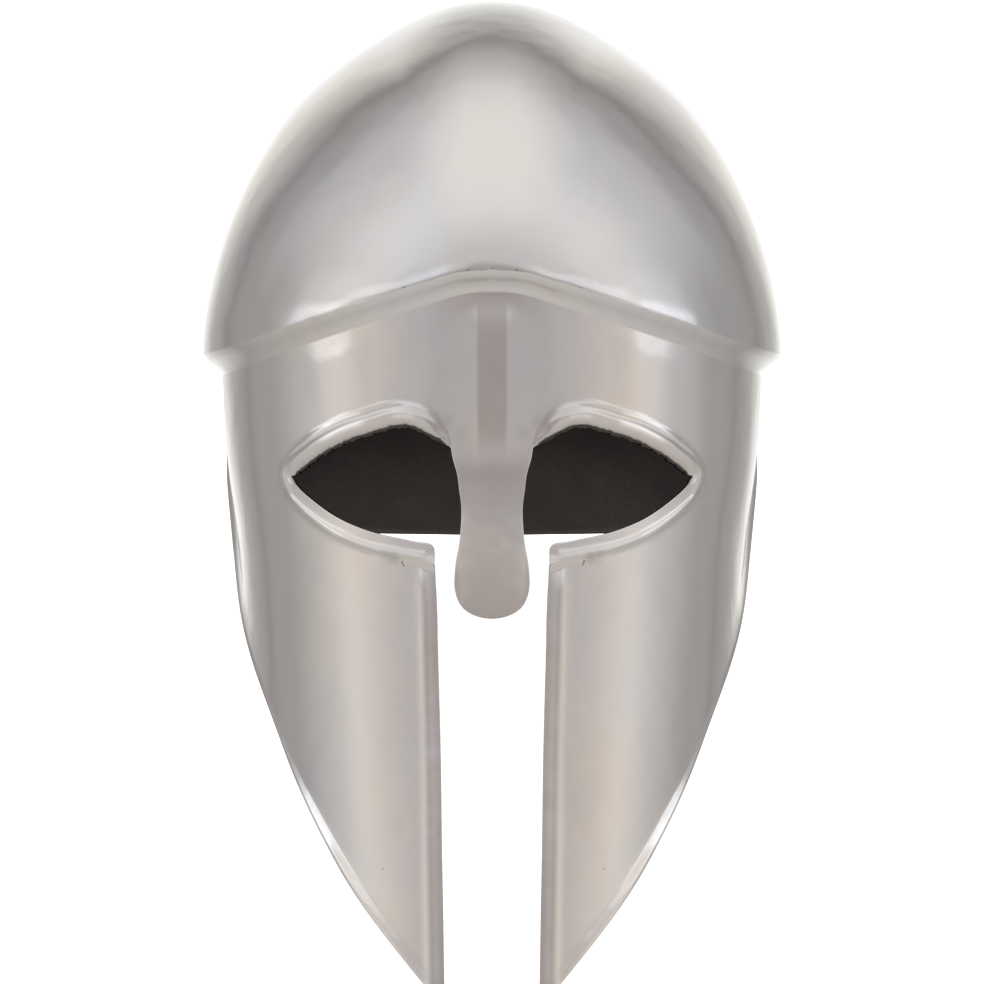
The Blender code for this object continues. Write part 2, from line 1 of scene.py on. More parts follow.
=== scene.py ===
"""Studio scene of a polished steel helmet with a tall skull, a rimmed face and a flared neck guard."""

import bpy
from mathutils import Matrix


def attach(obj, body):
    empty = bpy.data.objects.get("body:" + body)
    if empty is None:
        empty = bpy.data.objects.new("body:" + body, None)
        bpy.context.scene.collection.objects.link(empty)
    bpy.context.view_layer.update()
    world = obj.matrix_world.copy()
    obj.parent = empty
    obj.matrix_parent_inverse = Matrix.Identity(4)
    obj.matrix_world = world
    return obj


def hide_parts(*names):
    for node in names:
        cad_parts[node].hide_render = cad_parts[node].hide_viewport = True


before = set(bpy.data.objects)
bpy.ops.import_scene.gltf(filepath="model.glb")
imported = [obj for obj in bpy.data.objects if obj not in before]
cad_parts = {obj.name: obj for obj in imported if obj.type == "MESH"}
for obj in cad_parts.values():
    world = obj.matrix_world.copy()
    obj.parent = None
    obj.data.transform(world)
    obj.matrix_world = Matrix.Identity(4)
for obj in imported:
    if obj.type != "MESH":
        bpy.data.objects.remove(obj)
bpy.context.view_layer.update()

import logging
import math
from dataclasses import dataclass, field
from enum import Enum
from typing import Callable, NamedTuple, Sequence

import bmesh
import bpy
import numpy as np
from mathutils import Matrix, Vector

MM = 0.001
BLOCK = 4000
BISECTIONS = 40
LOG = logging.getLogger("helmet")
Socket = bpy.types.NodeSocket
Colour = tuple[float, float, float]
Span = tuple[float, float]
Tone = Colour | Socket
Fill = Callable[[np.ndarray, np.ndarray], np.ndarray]
WHITE = (1.0, 1.0, 1.0)
MIDDLE = (0.3, 0.7)
HALF_TURN = 180.0
WARM_RED = 0.03
PINK_RED = 0.05
WARM_BLUE = 0.06


class Share(NamedTuple):
    """One row of a shape table: a share along a line and a share of a size there."""

    at: float
    value: float


class Section(NamedTuple):
    """One level of the wall: shares of its height, half width and front reach."""

    height: float
    half_width: float
    front: float


class Cove(NamedTuple):
    """One ring of the hollow under the brow edge: shares of the way in and down."""

    inward: float
    down: float


class Relief(NamedTuple):
    """One point of a rim's cross section: distance from the cut edge and rise, in millimetres."""

    distance: float
    rise: float


class Mark(NamedTuple):
    """A small pit or stain, or a soft patch of painted shade: its place on the upright helmet and radius in
    millimetres, and its tone.
    """

    x: float
    y: float
    z: float
    radius: float
    tone: float = 0.85

    def edge(self) -> tuple[float, float]:
        """Return where the mark's soft edge starts and ends, as shares of its radius."""
        soft = 0.6 * min(self.radius / 1.8, 1.0) ** 2
        return 0.9 - soft, 1.6 + 1.4 * soft


class HighlightStreak(NamedTuple):
    """A painted highlight on a rim, laid as brighter, worn steel: its line, distance and width, where it
    starts and ends, and its tone.
    """

    line: str
    away: float
    width: float
    start: float
    end: float
    tone: float
    upright: bool = False

    def strength(self, along: np.ndarray, away: np.ndarray) -> np.ndarray:
        """Return how bright the streak is, by place along its line and distance from it."""
        middle = 0.5 * (self.start + self.end) * MM
        reach = 0.5 * (self.end - self.start) * MM
        window = 1.0 - ease((np.abs(along - middle) - 0.6 * reach) / (0.8 * reach))
        return self.tone * window * np.exp(-(((away - self.away * MM) / (self.width * MM)) ** 2))


class Fade(NamedTuple):
    """A smooth step from 0 to 1: where it starts and how wide it is, in millimetres."""

    start: float
    width: float

    def at(self, place: np.ndarray) -> np.ndarray:
        """Return the step's value at each place."""
        return ease((place - self.start * MM) / (self.width * MM))


class Wave(NamedTuple):
    """One wave of a worn or ragged edge: how fast it runs, its share and its shift."""

    rate: float
    share: float
    shift: float = 0.0


class Surface(Enum):
    """The finishes of a sheet, in the order of its material slots."""

    OUTSIDE = 0
    INSIDE = 1
    CUT_EDGE = 2


class Curve:
    """A natural cubic curve through given values."""

    def __init__(self, knots: Sequence[float], values: Sequence[float]) -> None:
        """Solve the curve.

        Args:
            knots: Rising places along the curve.
            values: The curve's value at each place.
        """
        self.knots = np.asarray(knots, float)
        self.values = np.asarray(values, float)
        count = len(self.knots)
        self.step = np.diff(self.knots)
        system = np.eye(count)
        right = np.zeros(count)
        slope = np.diff(self.values) / self.step
        for i in range(1, count - 1):
            system[i, i - 1] = self.step[i - 1]
            system[i, i] = 2.0 * (self.step[i - 1] + self.step[i])
            system[i, i + 1] = self.step[i]
            right[i] = 6.0 * (slope[i] - slope[i - 1])
        self.bend = np.linalg.solve(system, right)

    def __call__(self, at: np.ndarray) -> np.ndarray:
        """Return the curve's values.

        Args:
            at: Places along the curve, held inside its ends.

        Returns:
            One value for each place.
        """
        at = np.clip(np.asarray(at, float), self.knots[0], self.knots[-1])
        k = np.clip(np.searchsorted(self.knots, at) - 1, 0, len(self.step) - 1)
        ahead = self.knots[k + 1] - at
        behind = at - self.knots[k]
        step = self.step[k]
        cubic = (self.bend[k] * ahead ** 3 + self.bend[k + 1] * behind ** 3) / (6.0 * step)
        low = (self.values[k] / step - self.bend[k] * step / 6.0) * ahead
        high = (self.values[k + 1] / step - self.bend[k + 1] * step / 6.0) * behind
        return cubic + low + high


def curve_of(rows: Sequence[Share]) -> Curve:
    """Return the curve through a table of shares."""
    return Curve([row.at for row in rows], [row.value for row in rows])


def ease(share: np.ndarray) -> np.ndarray:
    """Return a smooth step from 0 to 1 with flat ends."""
    share = np.clip(share, 0.0, 1.0)
    return share ** 3 * (share * (6.0 * share - 15.0) + 10.0)


def heading(points: np.ndarray) -> np.ndarray:
    """Return the direction of each point round the helmet's axis, 0 at the front."""
    return np.arctan2(np.abs(points[:, 0]), -points[:, 1])


def polar(azimuth: np.ndarray, half_width: float, reach: np.ndarray, squareness: float) -> np.ndarray:
    """Return the distance from the helmet's axis to a rounded outline.

    Args:
        azimuth: Directions, 0 at the front and pi at the rear.
        half_width: Half width of the outline.
        reach: How far the outline reaches ahead or behind.
        squareness: Power of the outline, 2 for an ellipse.

    Returns:
        One distance for each direction.
    """
    side = (np.abs(np.sin(azimuth)) / half_width) ** squareness
    ahead = (np.abs(np.cos(azimuth)) / reach) ** squareness
    return (side + ahead) ** (-1.0 / squareness)


@dataclass(frozen=True)
class Stance:
    """How the helmet leans back on its cheek tips and neck rim."""

    lean: float = -0.5225507194948327
    floor_level: float = 60.4543539938561 * MM
    middle: float = 61.45754456 * MM

    def matrix(self) -> Matrix:
        """Return the move from the upright helmet to the standing one."""
        return Matrix.Translation((0.0, -self.middle, -self.floor_level)) @ Matrix.Rotation(self.lean, 4, "X")

    def stood(self, place: Sequence[float]) -> Vector:
        """Return where a place on the upright helmet, in millimetres, is on the standing one."""
        return self.matrix() @ (Vector(place) * MM)


@dataclass(frozen=True)
class Form:
    """The helmet's outer form, upright, with its front towards -Y."""

    wall: float = 1.2 * MM
    lap: float = 0.25 * MM
    skull_half_width: float = 102.5 * MM
    skull_front: float = 121.0 * MM
    skull_rear: float = 118.0 * MM
    skull_squareness: float = 2.15
    apex_height: float = 346.53 * MM
    apex_setback: float = 12.0 * MM
    edge_front: float = 244.0 * MM
    edge_side: float = 219.1 * MM
    edge_rear: float = 206.0 * MM
    cove_drop: float = 7.2 * MM
    edge_wear: float = 0.22 * MM
    wear: tuple[Wave, ...] = (Wave(58.0, 0.6), Wave(127.0, 0.4))
    wear_end: float = math.radians(38.0)
    wear_fade: float = math.radians(20.0)
    edge_zone: float = 0.995
    roundness_top: float = 1.33
    roundness_side: float = 1.74
    roundness_start: float = 0.16
    roundness_span: float = 0.75
    setback_power: float = 1.6
    wall_half_width: float = 95.8 * MM
    wall_front: float = 115.0 * MM
    wall_rear: float = 111.0 * MM
    wall_squareness: float = 2.3
    wall_height: float = 237.0 * MM
    notch_azimuth: float = math.radians(108.0)
    notch_height: float = 190.5 * MM
    nape_height: float = 154.5 * MM
    nape_reach: float = 147.0 * MM
    turn_start: float = math.radians(75.0)
    turn_span: float = math.radians(90.0)
    brow: tuple[Share, ...] = (
        Share(0.000, 1.000), Share(0.085, 0.985), Share(0.167, 0.905), Share(0.296, 0.745),
        Share(0.626, 0.350), Share(0.840, 0.095), Share(0.940, 0.020), Share(1.000, 0.000),
    )
    sections: tuple[Section, ...] = (
        Section(0.000, 0.830, 1.030), Section(0.211, 0.872, 1.009), Section(0.422, 0.906, 0.983),
        Section(0.557, 0.923, 0.973), Section(0.620, 0.931, 0.970), Section(0.679, 0.946, 0.971),
        Section(0.738, 0.968, 0.974), Section(0.793, 0.983, 0.979), Section(0.852, 0.992, 0.987),
        Section(1.000, 1.000, 1.000),
    )
    neck: tuple[Share, ...] = (
        Share(0.00, 1.000), Share(0.22, 0.670), Share(0.45, 0.360), Share(0.70, 0.120),
        Share(1.00, 0.000),
    )
    nape: tuple[Share, ...] = (
        Share(0.00, 0.00), Share(0.16, 0.34), Share(0.36, 0.70), Share(0.58, 0.93), Share(0.78, 0.99),
        Share(1.00, 1.00),
    )

    def section_curve(self, name: str, size: float) -> Curve:
        """Return a size of the wall against height, from the table of sections."""
        heights = [row.height * self.wall_height for row in self.sections]
        return Curve(heights, [getattr(row, name) * size for row in self.sections])

    def edge_height(self, azimuth: np.ndarray) -> np.ndarray:
        """Return the height of the skull's sharp edge in each direction."""
        reach = polar(azimuth, self.skull_half_width, self.skull_front, self.skull_squareness)
        across = np.clip(reach * np.sin(azimuth) / self.skull_half_width, 0.0, 1.0)
        front = self.edge_side + (self.edge_front - self.edge_side) * curve_of(self.brow)(across)
        turn = ease((azimuth - math.pi / 2.0) / (math.pi / 2.0))
        rear = self.edge_side + (self.edge_rear - self.edge_side) * turn
        return np.where(azimuth <= math.pi / 2.0, front, rear)

    def cove_height(self, azimuth: np.ndarray) -> np.ndarray:
        """Return the height of the cove's lower edge, where the skull ends."""
        return self.edge_height(azimuth) - self.cove_drop

    def rear_reach(self, height: np.ndarray) -> np.ndarray:
        """Return how far back the wall reaches at each height."""
        top = self.edge_rear - self.cove_drop
        share = np.clip((height - self.nape_height) / (top - self.nape_height), 0.0, 1.0)
        return self.wall_rear + (self.nape_reach - self.wall_rear) * curve_of(self.neck)(share)

    def points(self, azimuth: np.ndarray, height: np.ndarray) -> np.ndarray:
        """Return points on the outside of the wall below the skull.

        Args:
            azimuth: Directions round the helmet's axis.
            height: Heights above the cheek tips.

        Returns:
            One row of x, y, z for each direction and height.
        """
        front = self.section_curve("front", self.wall_front)(height)
        half_width = self.section_curve("half_width", self.wall_half_width)(height)
        turn = ease((azimuth - self.turn_start) / self.turn_span)
        reach = front + (self.rear_reach(height) - front) * turn
        distance = polar(azimuth, half_width, reach, self.wall_squareness)
        height = height + 0.0 * azimuth
        return np.stack([distance * np.sin(azimuth), -distance * np.cos(azimuth), height], axis=-1)

    def outward(self, azimuth: np.ndarray, height: np.ndarray) -> np.ndarray:
        """Return unit vectors that point out of the wall."""
        small = 1e-4
        around = self.points(azimuth + small, height) - self.points(azimuth - small, height)
        up = self.points(azimuth, height + small) - self.points(azimuth, height - small)
        normal = np.cross(around, up)
        return normal / np.linalg.norm(normal, axis=-1, keepdims=True)

    def azimuth_at(self, across: np.ndarray, height: np.ndarray) -> np.ndarray:
        """Return the direction in which the wall is a given distance from the middle plane."""
        low = np.zeros_like(across)
        high = np.full_like(across, math.pi / 2.0)
        for _ in range(BISECTIONS):
            middle = (low + high) / 2.0
            short = self.points(middle, height)[..., 0] < across
            low = np.where(short, middle, low)
            high = np.where(short, high, middle)
        return low

    def dome(self, azimuth: np.ndarray, share: np.ndarray) -> np.ndarray:
        """Return points on the dome: share 0 is its top, share 1 the sharp edge."""
        angle = share * math.pi / 2.0
        rounding = ease((angle - self.roundness_start) / self.roundness_span)
        round_off = self.roundness_top + (self.roundness_side - self.roundness_top) * rounding
        out = np.sin(angle)
        down = 1.0 - np.clip(np.cos(angle), 0.0, 1.0) ** (2.0 / round_off)
        reach = np.where(azimuth <= math.pi / 2.0, self.skull_front, self.skull_rear)
        distance = polar(azimuth, self.skull_half_width, reach, self.skull_squareness) * out
        height = self.apex_height - (self.apex_height - self.edge_height(azimuth)) * down
        worn = sum(wave.share * np.cos(wave.rate * azimuth) for wave in self.wear)
        worn = worn * (1.0 - ease((azimuth - self.wear_end) / self.wear_fade))
        height = height + self.edge_wear * worn * np.where(share > self.edge_zone, 1.0, 0.0)
        setback = self.apex_setback * (1.0 - out ** self.setback_power)
        return np.stack([distance * np.sin(azimuth), setback - distance * np.cos(azimuth), height], axis=-1)


class Line:
    """A smooth line on the wall, held as direction and height against its share of length."""

    def __init__(self, form: Form, azimuth: np.ndarray, height: np.ndarray) -> None:
        """Measure the line and solve its curves.

        Args:
            form: The form that the line lies on.
            azimuth: Directions of the line's points.
            height: Heights of the line's points.
        """
        self.form = form
        steps = np.linalg.norm(np.diff(form.points(azimuth, height), axis=0), axis=1)
        length = np.concatenate([[0.0], np.cumsum(steps)])
        self.azimuth = Curve(length / length[-1], azimuth)
        self.height = Curve(length / length[-1], height)

    def __call__(self, share: np.ndarray) -> np.ndarray:
        """Return direction and height pairs at shares of the line's length."""
        return np.stack([self.azimuth(share), self.height(share)], axis=-1)

    def samples(self, count: int = 400) -> np.ndarray:
        """Return points along the line."""
        pair = self(np.linspace(0.0, 1.0, count))
        return self.form.points(pair[:, 0], pair[:, 1])


def straight(form: Form, start: Sequence[float], end: Sequence[float]) -> Line:
    """Return the line between two direction and height pairs."""
    share = np.linspace(0.0, 1.0, 9)
    return Line(form, start[0] + (end[0] - start[0]) * share, start[1] + (end[1] - start[1]) * share)


def cove_line(form: Form, start: float, end: float) -> Line:
    """Return the wall's top line, lapped a little into the skull, between two directions."""
    azimuth = np.linspace(start, end, 61)
    return Line(form, azimuth, form.cove_height(azimuth) + form.lap)


def coons(bottom: Line, top: Line, left: Line, right: Line) -> Fill:
    """Return a function that fills the patch between four lines.

    Args:
        bottom: Line from the left line's start to the right line's start.
        top: Line from the left line's end to the right line's end.
        left: Line on the left.
        right: Line on the right.

    Returns:
        A function of shares across and up that gives direction and height pairs.
    """
    def fill(u: np.ndarray, v: np.ndarray) -> np.ndarray:
        """Return the patch's direction and height pairs."""
        across = (1.0 - v)[:, None] * bottom(u) + v[:, None] * top(u)
        along = (1.0 - u)[:, None] * left(v) + u[:, None] * right(v)
        corner = ((1.0 - u) * (1.0 - v))[:, None] * bottom(0.0) + (u * (1.0 - v))[:, None] * bottom(1.0)
        corner = corner + ((1.0 - u) * v)[:, None] * top(0.0) + (u * v)[:, None] * top(1.0)
        return across + along - corner

    return fill


def nearest(points: np.ndarray, line: np.ndarray) -> np.ndarray:
    """Return the distance from each point to a line of samples."""
    found = np.empty(len(points))
    for start in range(0, len(points), BLOCK):
        apart = points[start:start + BLOCK, None, :] - line[None, :, :]
        found[start:start + BLOCK] = np.sqrt((apart ** 2).sum(axis=2)).min(axis=1)
    return found


def graded(count: int, near: Sequence[float] = (), far: Sequence[float] = ()) -> np.ndarray:
    """Return shares from 0 to 1: the near steps, even ones, then the far steps.

    Args:
        count: Number of even steps.
        near: Rising shares close to the start.
        far: Rising shares measured back from the end.

    Returns:
        The rising shares.
    """
    start = near[-1] if len(near) else 0.0
    stop = 1.0 - far[-1] if len(far) else 1.0
    shares = list(near[:-1]) + list(np.linspace(start, stop, count + 1))
    if len(near):
        shares = [0.0] + shares
    if len(far):
        shares = shares + [1.0 - step for step in reversed(far[:-1])] + [1.0]
    return np.array(shares)


def profile(rows: Sequence[Relief], distance: np.ndarray) -> np.ndarray:
    """Return the rise of a rim's cross section at distances from its cut edge."""
    curve = Curve([row.distance * MM for row in rows], [row.rise * MM for row in rows])
    return np.where(distance < rows[-1].distance * MM, curve(distance), 0.0)


@dataclass
class Sheet:
    """A piece of steel sheet: an open surface that is given its wall, its cut edges and its finishes."""

    form: Form
    stance: Stance
    name: str
    node: str
    finishes: dict[Surface, bpy.types.Material]
    edge_round: float = 0.16 * MM
    round_angle: float = math.radians(55.0)
    sharp_angle: float = math.radians(38.0)
    merge: float = 0.01 * MM
    mesh: bmesh.types.BMesh = field(default_factory=bmesh.new)

    def grid(self, across: np.ndarray, along: np.ndarray, surface: Fill) -> None:
        """Add a grid and put its points on a surface.

        Args:
            across: Rising shares of the grid's columns.
            along: Rising shares of the grid's rows.
            surface: Function that turns shares across and along into points.
        """
        columns, rows = len(across), len(along)
        made = bmesh.ops.create_grid(self.mesh, x_segments=columns - 1, y_segments=rows - 1, size=0.5)
        verts = made["verts"]
        u = np.interp([vert.co.x + 0.5 for vert in verts], np.linspace(0.0, 1.0, columns), across)
        v = np.interp([vert.co.y + 0.5 for vert in verts], np.linspace(0.0, 1.0, rows), along)
        for vert, point in zip(verts, surface(u, v)):
            vert.co = point

    def mirror(self) -> None:
        """Complete a half that was built on the +X side."""
        bmesh.ops.remove_doubles(self.mesh, verts=self.mesh.verts, dist=self.merge)
        for vert in self.mesh.verts:
            if abs(vert.co.x) < 2.0 * self.merge:
                vert.co.x = 0.0
        whole = self.mesh.verts[:] + self.mesh.edges[:] + self.mesh.faces[:]
        bmesh.ops.mirror(self.mesh, geom=whole, matrix=Matrix.Identity(4), merge_dist=self.merge, axis="X")

    def folded(self) -> np.ndarray:
        """Return the mesh's points with the left half laid over the right one."""
        return np.array([(abs(vert.co.x), vert.co.y, vert.co.z) for vert in self.mesh.verts])

    def store(self, name: str, values: Sequence[float]) -> None:
        """Store a value for each point under a name that the finishes read."""
        layer = self.mesh.verts.layers.float.new(name)
        for vert, value in zip(self.mesh.verts, values):
            vert[layer] = value

    def face_out(self) -> None:
        """Turn every face away from the middle of the helmet."""
        bmesh.ops.recalc_face_normals(self.mesh, faces=self.mesh.faces[:])
        self.mesh.normal_update()
        middle = Vector((0.0, 0.0, 0.6 * self.form.apex_height))
        outward = sum((face.calc_center_median() - middle).dot(face.normal) for face in self.mesh.faces)
        if outward < 0.0:
            bmesh.ops.reverse_faces(self.mesh, faces=self.mesh.faces[:])

    def finish(self) -> bpy.types.Object:
        """Give the sheet its wall and edges, stand it on the floor and put it in the scene.

        Returns:
            The finished piece.
        """
        self.face_out()
        data = bpy.data.meshes.new(self.name)
        self.mesh.to_mesh(data)
        self.mesh.free()
        for surface in Surface:
            data.materials.append(self.finishes[surface])
        piece = bpy.data.objects.new(self.name, data)
        bpy.context.scene.collection.objects.link(piece)
        wall = piece.modifiers.new("wall", "SOLIDIFY")
        wall.thickness = self.form.wall
        wall.offset = -1.0
        wall.use_even_offset = True
        wall.use_quality_normals = True
        wall.material_offset = Surface.INSIDE.value
        wall.material_offset_rim = Surface.CUT_EDGE.value
        rounding = piece.modifiers.new("rounding", "BEVEL")
        rounding.width = self.edge_round
        rounding.segments = 2
        rounding.limit_method = "ANGLE"
        rounding.angle_limit = self.round_angle
        rounding.use_clamp_overlap = True
        self.bake(piece)
        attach(piece, "root")
        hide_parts(self.node)
        return piece

    def bake(self, piece: bpy.types.Object) -> None:
        """Apply the modifiers, stand the mesh and cut it at the floor.

        Args:
            piece: The piece with its live modifiers.
        """
        graph = bpy.context.evaluated_depsgraph_get()
        live = piece.evaluated_get(graph)
        solid = bpy.data.meshes.new_from_object(live, preserve_all_data_layers=True, depsgraph=graph)
        piece.modifiers.clear()
        shaped = bmesh.new()
        shaped.from_mesh(solid)
        bmesh.ops.transform(shaped, matrix=self.stance.matrix(), verts=shaped.verts[:])
        whole = shaped.verts[:] + shaped.edges[:] + shaped.faces[:]
        bmesh.ops.bisect_plane(
            shaped, geom=whole, plane_co=(0.0, 0.0, 0.0), plane_no=(0.0, 0.0, 1.0), clear_inner=True,
            dist=1e-7,
        )
        open_edges = [edge for edge in shaped.edges if edge.is_boundary]
        if open_edges:
            bmesh.ops.holes_fill(shaped, edges=open_edges, sides=0)
        for face in shaped.faces:
            face.smooth = True
        shaped.to_mesh(solid)
        shaped.free()
        old = piece.data
        piece.data = solid
        solid.name = self.name
        bpy.data.meshes.remove(old)
        piece.data.set_sharp_from_angle(angle=self.sharp_angle)


@dataclass
class Skull(Sheet):
    """The tall dome with its sharp overhanging brow edge and the hollow cove below the edge."""

    steps: int = 130
    rings: int = 14
    fold_round: float = 0.22 * MM
    cove: tuple[Cove, ...] = (
        Cove(0.00, 0.00), Cove(0.20, 0.22), Cove(0.44, 0.40), Cove(0.66, 0.57), Cove(0.85, 0.76),
        Cove(1.00, 0.99), Cove(1.10, 1.12),
    )
    marks: tuple[Mark, ...] = (
        Mark(-7.7, -120.8, 244.2, 0.36, 0.6), Mark(-8.5, -120.7, 244.1, 0.22, 0.5),
        Mark(0.2, -121.0, 244.8, 0.34, 0.6), Mark(0.8, -121.0, 244.5, 0.22, 0.5),
        Mark(8.1, -120.8, 244.2, 0.36, 0.6), Mark(8.9, -120.7, 244.1, 0.22, 0.5),
        Mark(-29.6, -117.0, 238.4, 0.34, 0.55), Mark(-28.9, -117.2, 238.6, 0.30, 0.6),
        Mark(-28.2, -117.3, 238.8, 0.26, 0.5), Mark(-27.4, -117.5, 239.0, 0.24, 0.4),
        Mark(29.6, -117.0, 238.4, 0.34, 0.55), Mark(28.9, -117.2, 238.6, 0.30, 0.6),
        Mark(28.2, -117.3, 238.8, 0.26, 0.5), Mark(27.4, -117.5, 239.0, 0.24, 0.4),
    )

    def cove_points(self, azimuth: np.ndarray, inward: float, down: float) -> np.ndarray:
        """Return one ring of the cove.

        Args:
            azimuth: Directions round the helmet's axis.
            inward: Share of the way in from the edge to the wall.
            down: Share of the way down.

        Returns:
            One point for each direction.
        """
        edge = self.form.dome(azimuth, np.ones_like(azimuth))
        foot = self.form.points(azimuth, self.form.cove_height(azimuth))
        point = edge + (foot - edge) * inward
        point[:, 2] = edge[:, 2] + (foot[:, 2] - edge[:, 2]) * down
        return point

    def build(self) -> bpy.types.Object:
        """Build the skull and return it."""
        made = bmesh.ops.create_grid(self.mesh, x_segments=self.steps, y_segments=self.steps, size=1.0)
        verts = made["verts"]
        u = np.array([vert.co.x for vert in verts])
        v = np.array([vert.co.y for vert in verts])
        x = u * np.sqrt(1.0 - v * v / 2.0)
        y = v * np.sqrt(1.0 - u * u / 2.0)
        azimuth = np.arctan2(np.abs(x), -y)
        share = np.clip(np.hypot(x, y), 0.0, 1.0)
        for vert, point, side in zip(verts, self.form.dome(azimuth, share), np.sign(np.round(x, 9))):
            vert.co = (point[0] * side, point[1], point[2])
        self.add_cove([edge for edge in self.mesh.edges if edge.is_boundary])
        return self.finish()

    def add_cove(self, ring: list[bmesh.types.BMEdge]) -> None:
        """Grow the cove from the dome's edge ring and soften the fold between them."""
        fold = list(ring)
        places = np.linspace(0.0, 1.0, len(self.cove))
        inward = Curve(places, [row.inward for row in self.cove])
        down = Curve(places, [row.down for row in self.cove])
        for share in np.linspace(0.0, 1.0, self.rings + 1)[1:]:
            grown = bmesh.ops.extrude_edge_only(self.mesh, edges=ring)["geom"]
            fresh = [item for item in grown if isinstance(item, bmesh.types.BMVert)]
            ring = [item for item in grown if isinstance(item, bmesh.types.BMEdge) and item.is_boundary]
            places_now = np.array([vert.co[:] for vert in fresh])
            points = self.cove_points(heading(places_now), float(inward(share)), float(down(share)))
            for vert, point, side in zip(fresh, points, np.sign(np.round(places_now[:, 0], 9))):
                vert.co = (point[0] * side, point[1], point[2])
        bmesh.ops.bevel(
            self.mesh, geom=fold, offset=self.fold_round, offset_type="OFFSET", segments=3,
            profile=0.5, affect="EDGES", material=-1, clamp_overlap=True,
        )


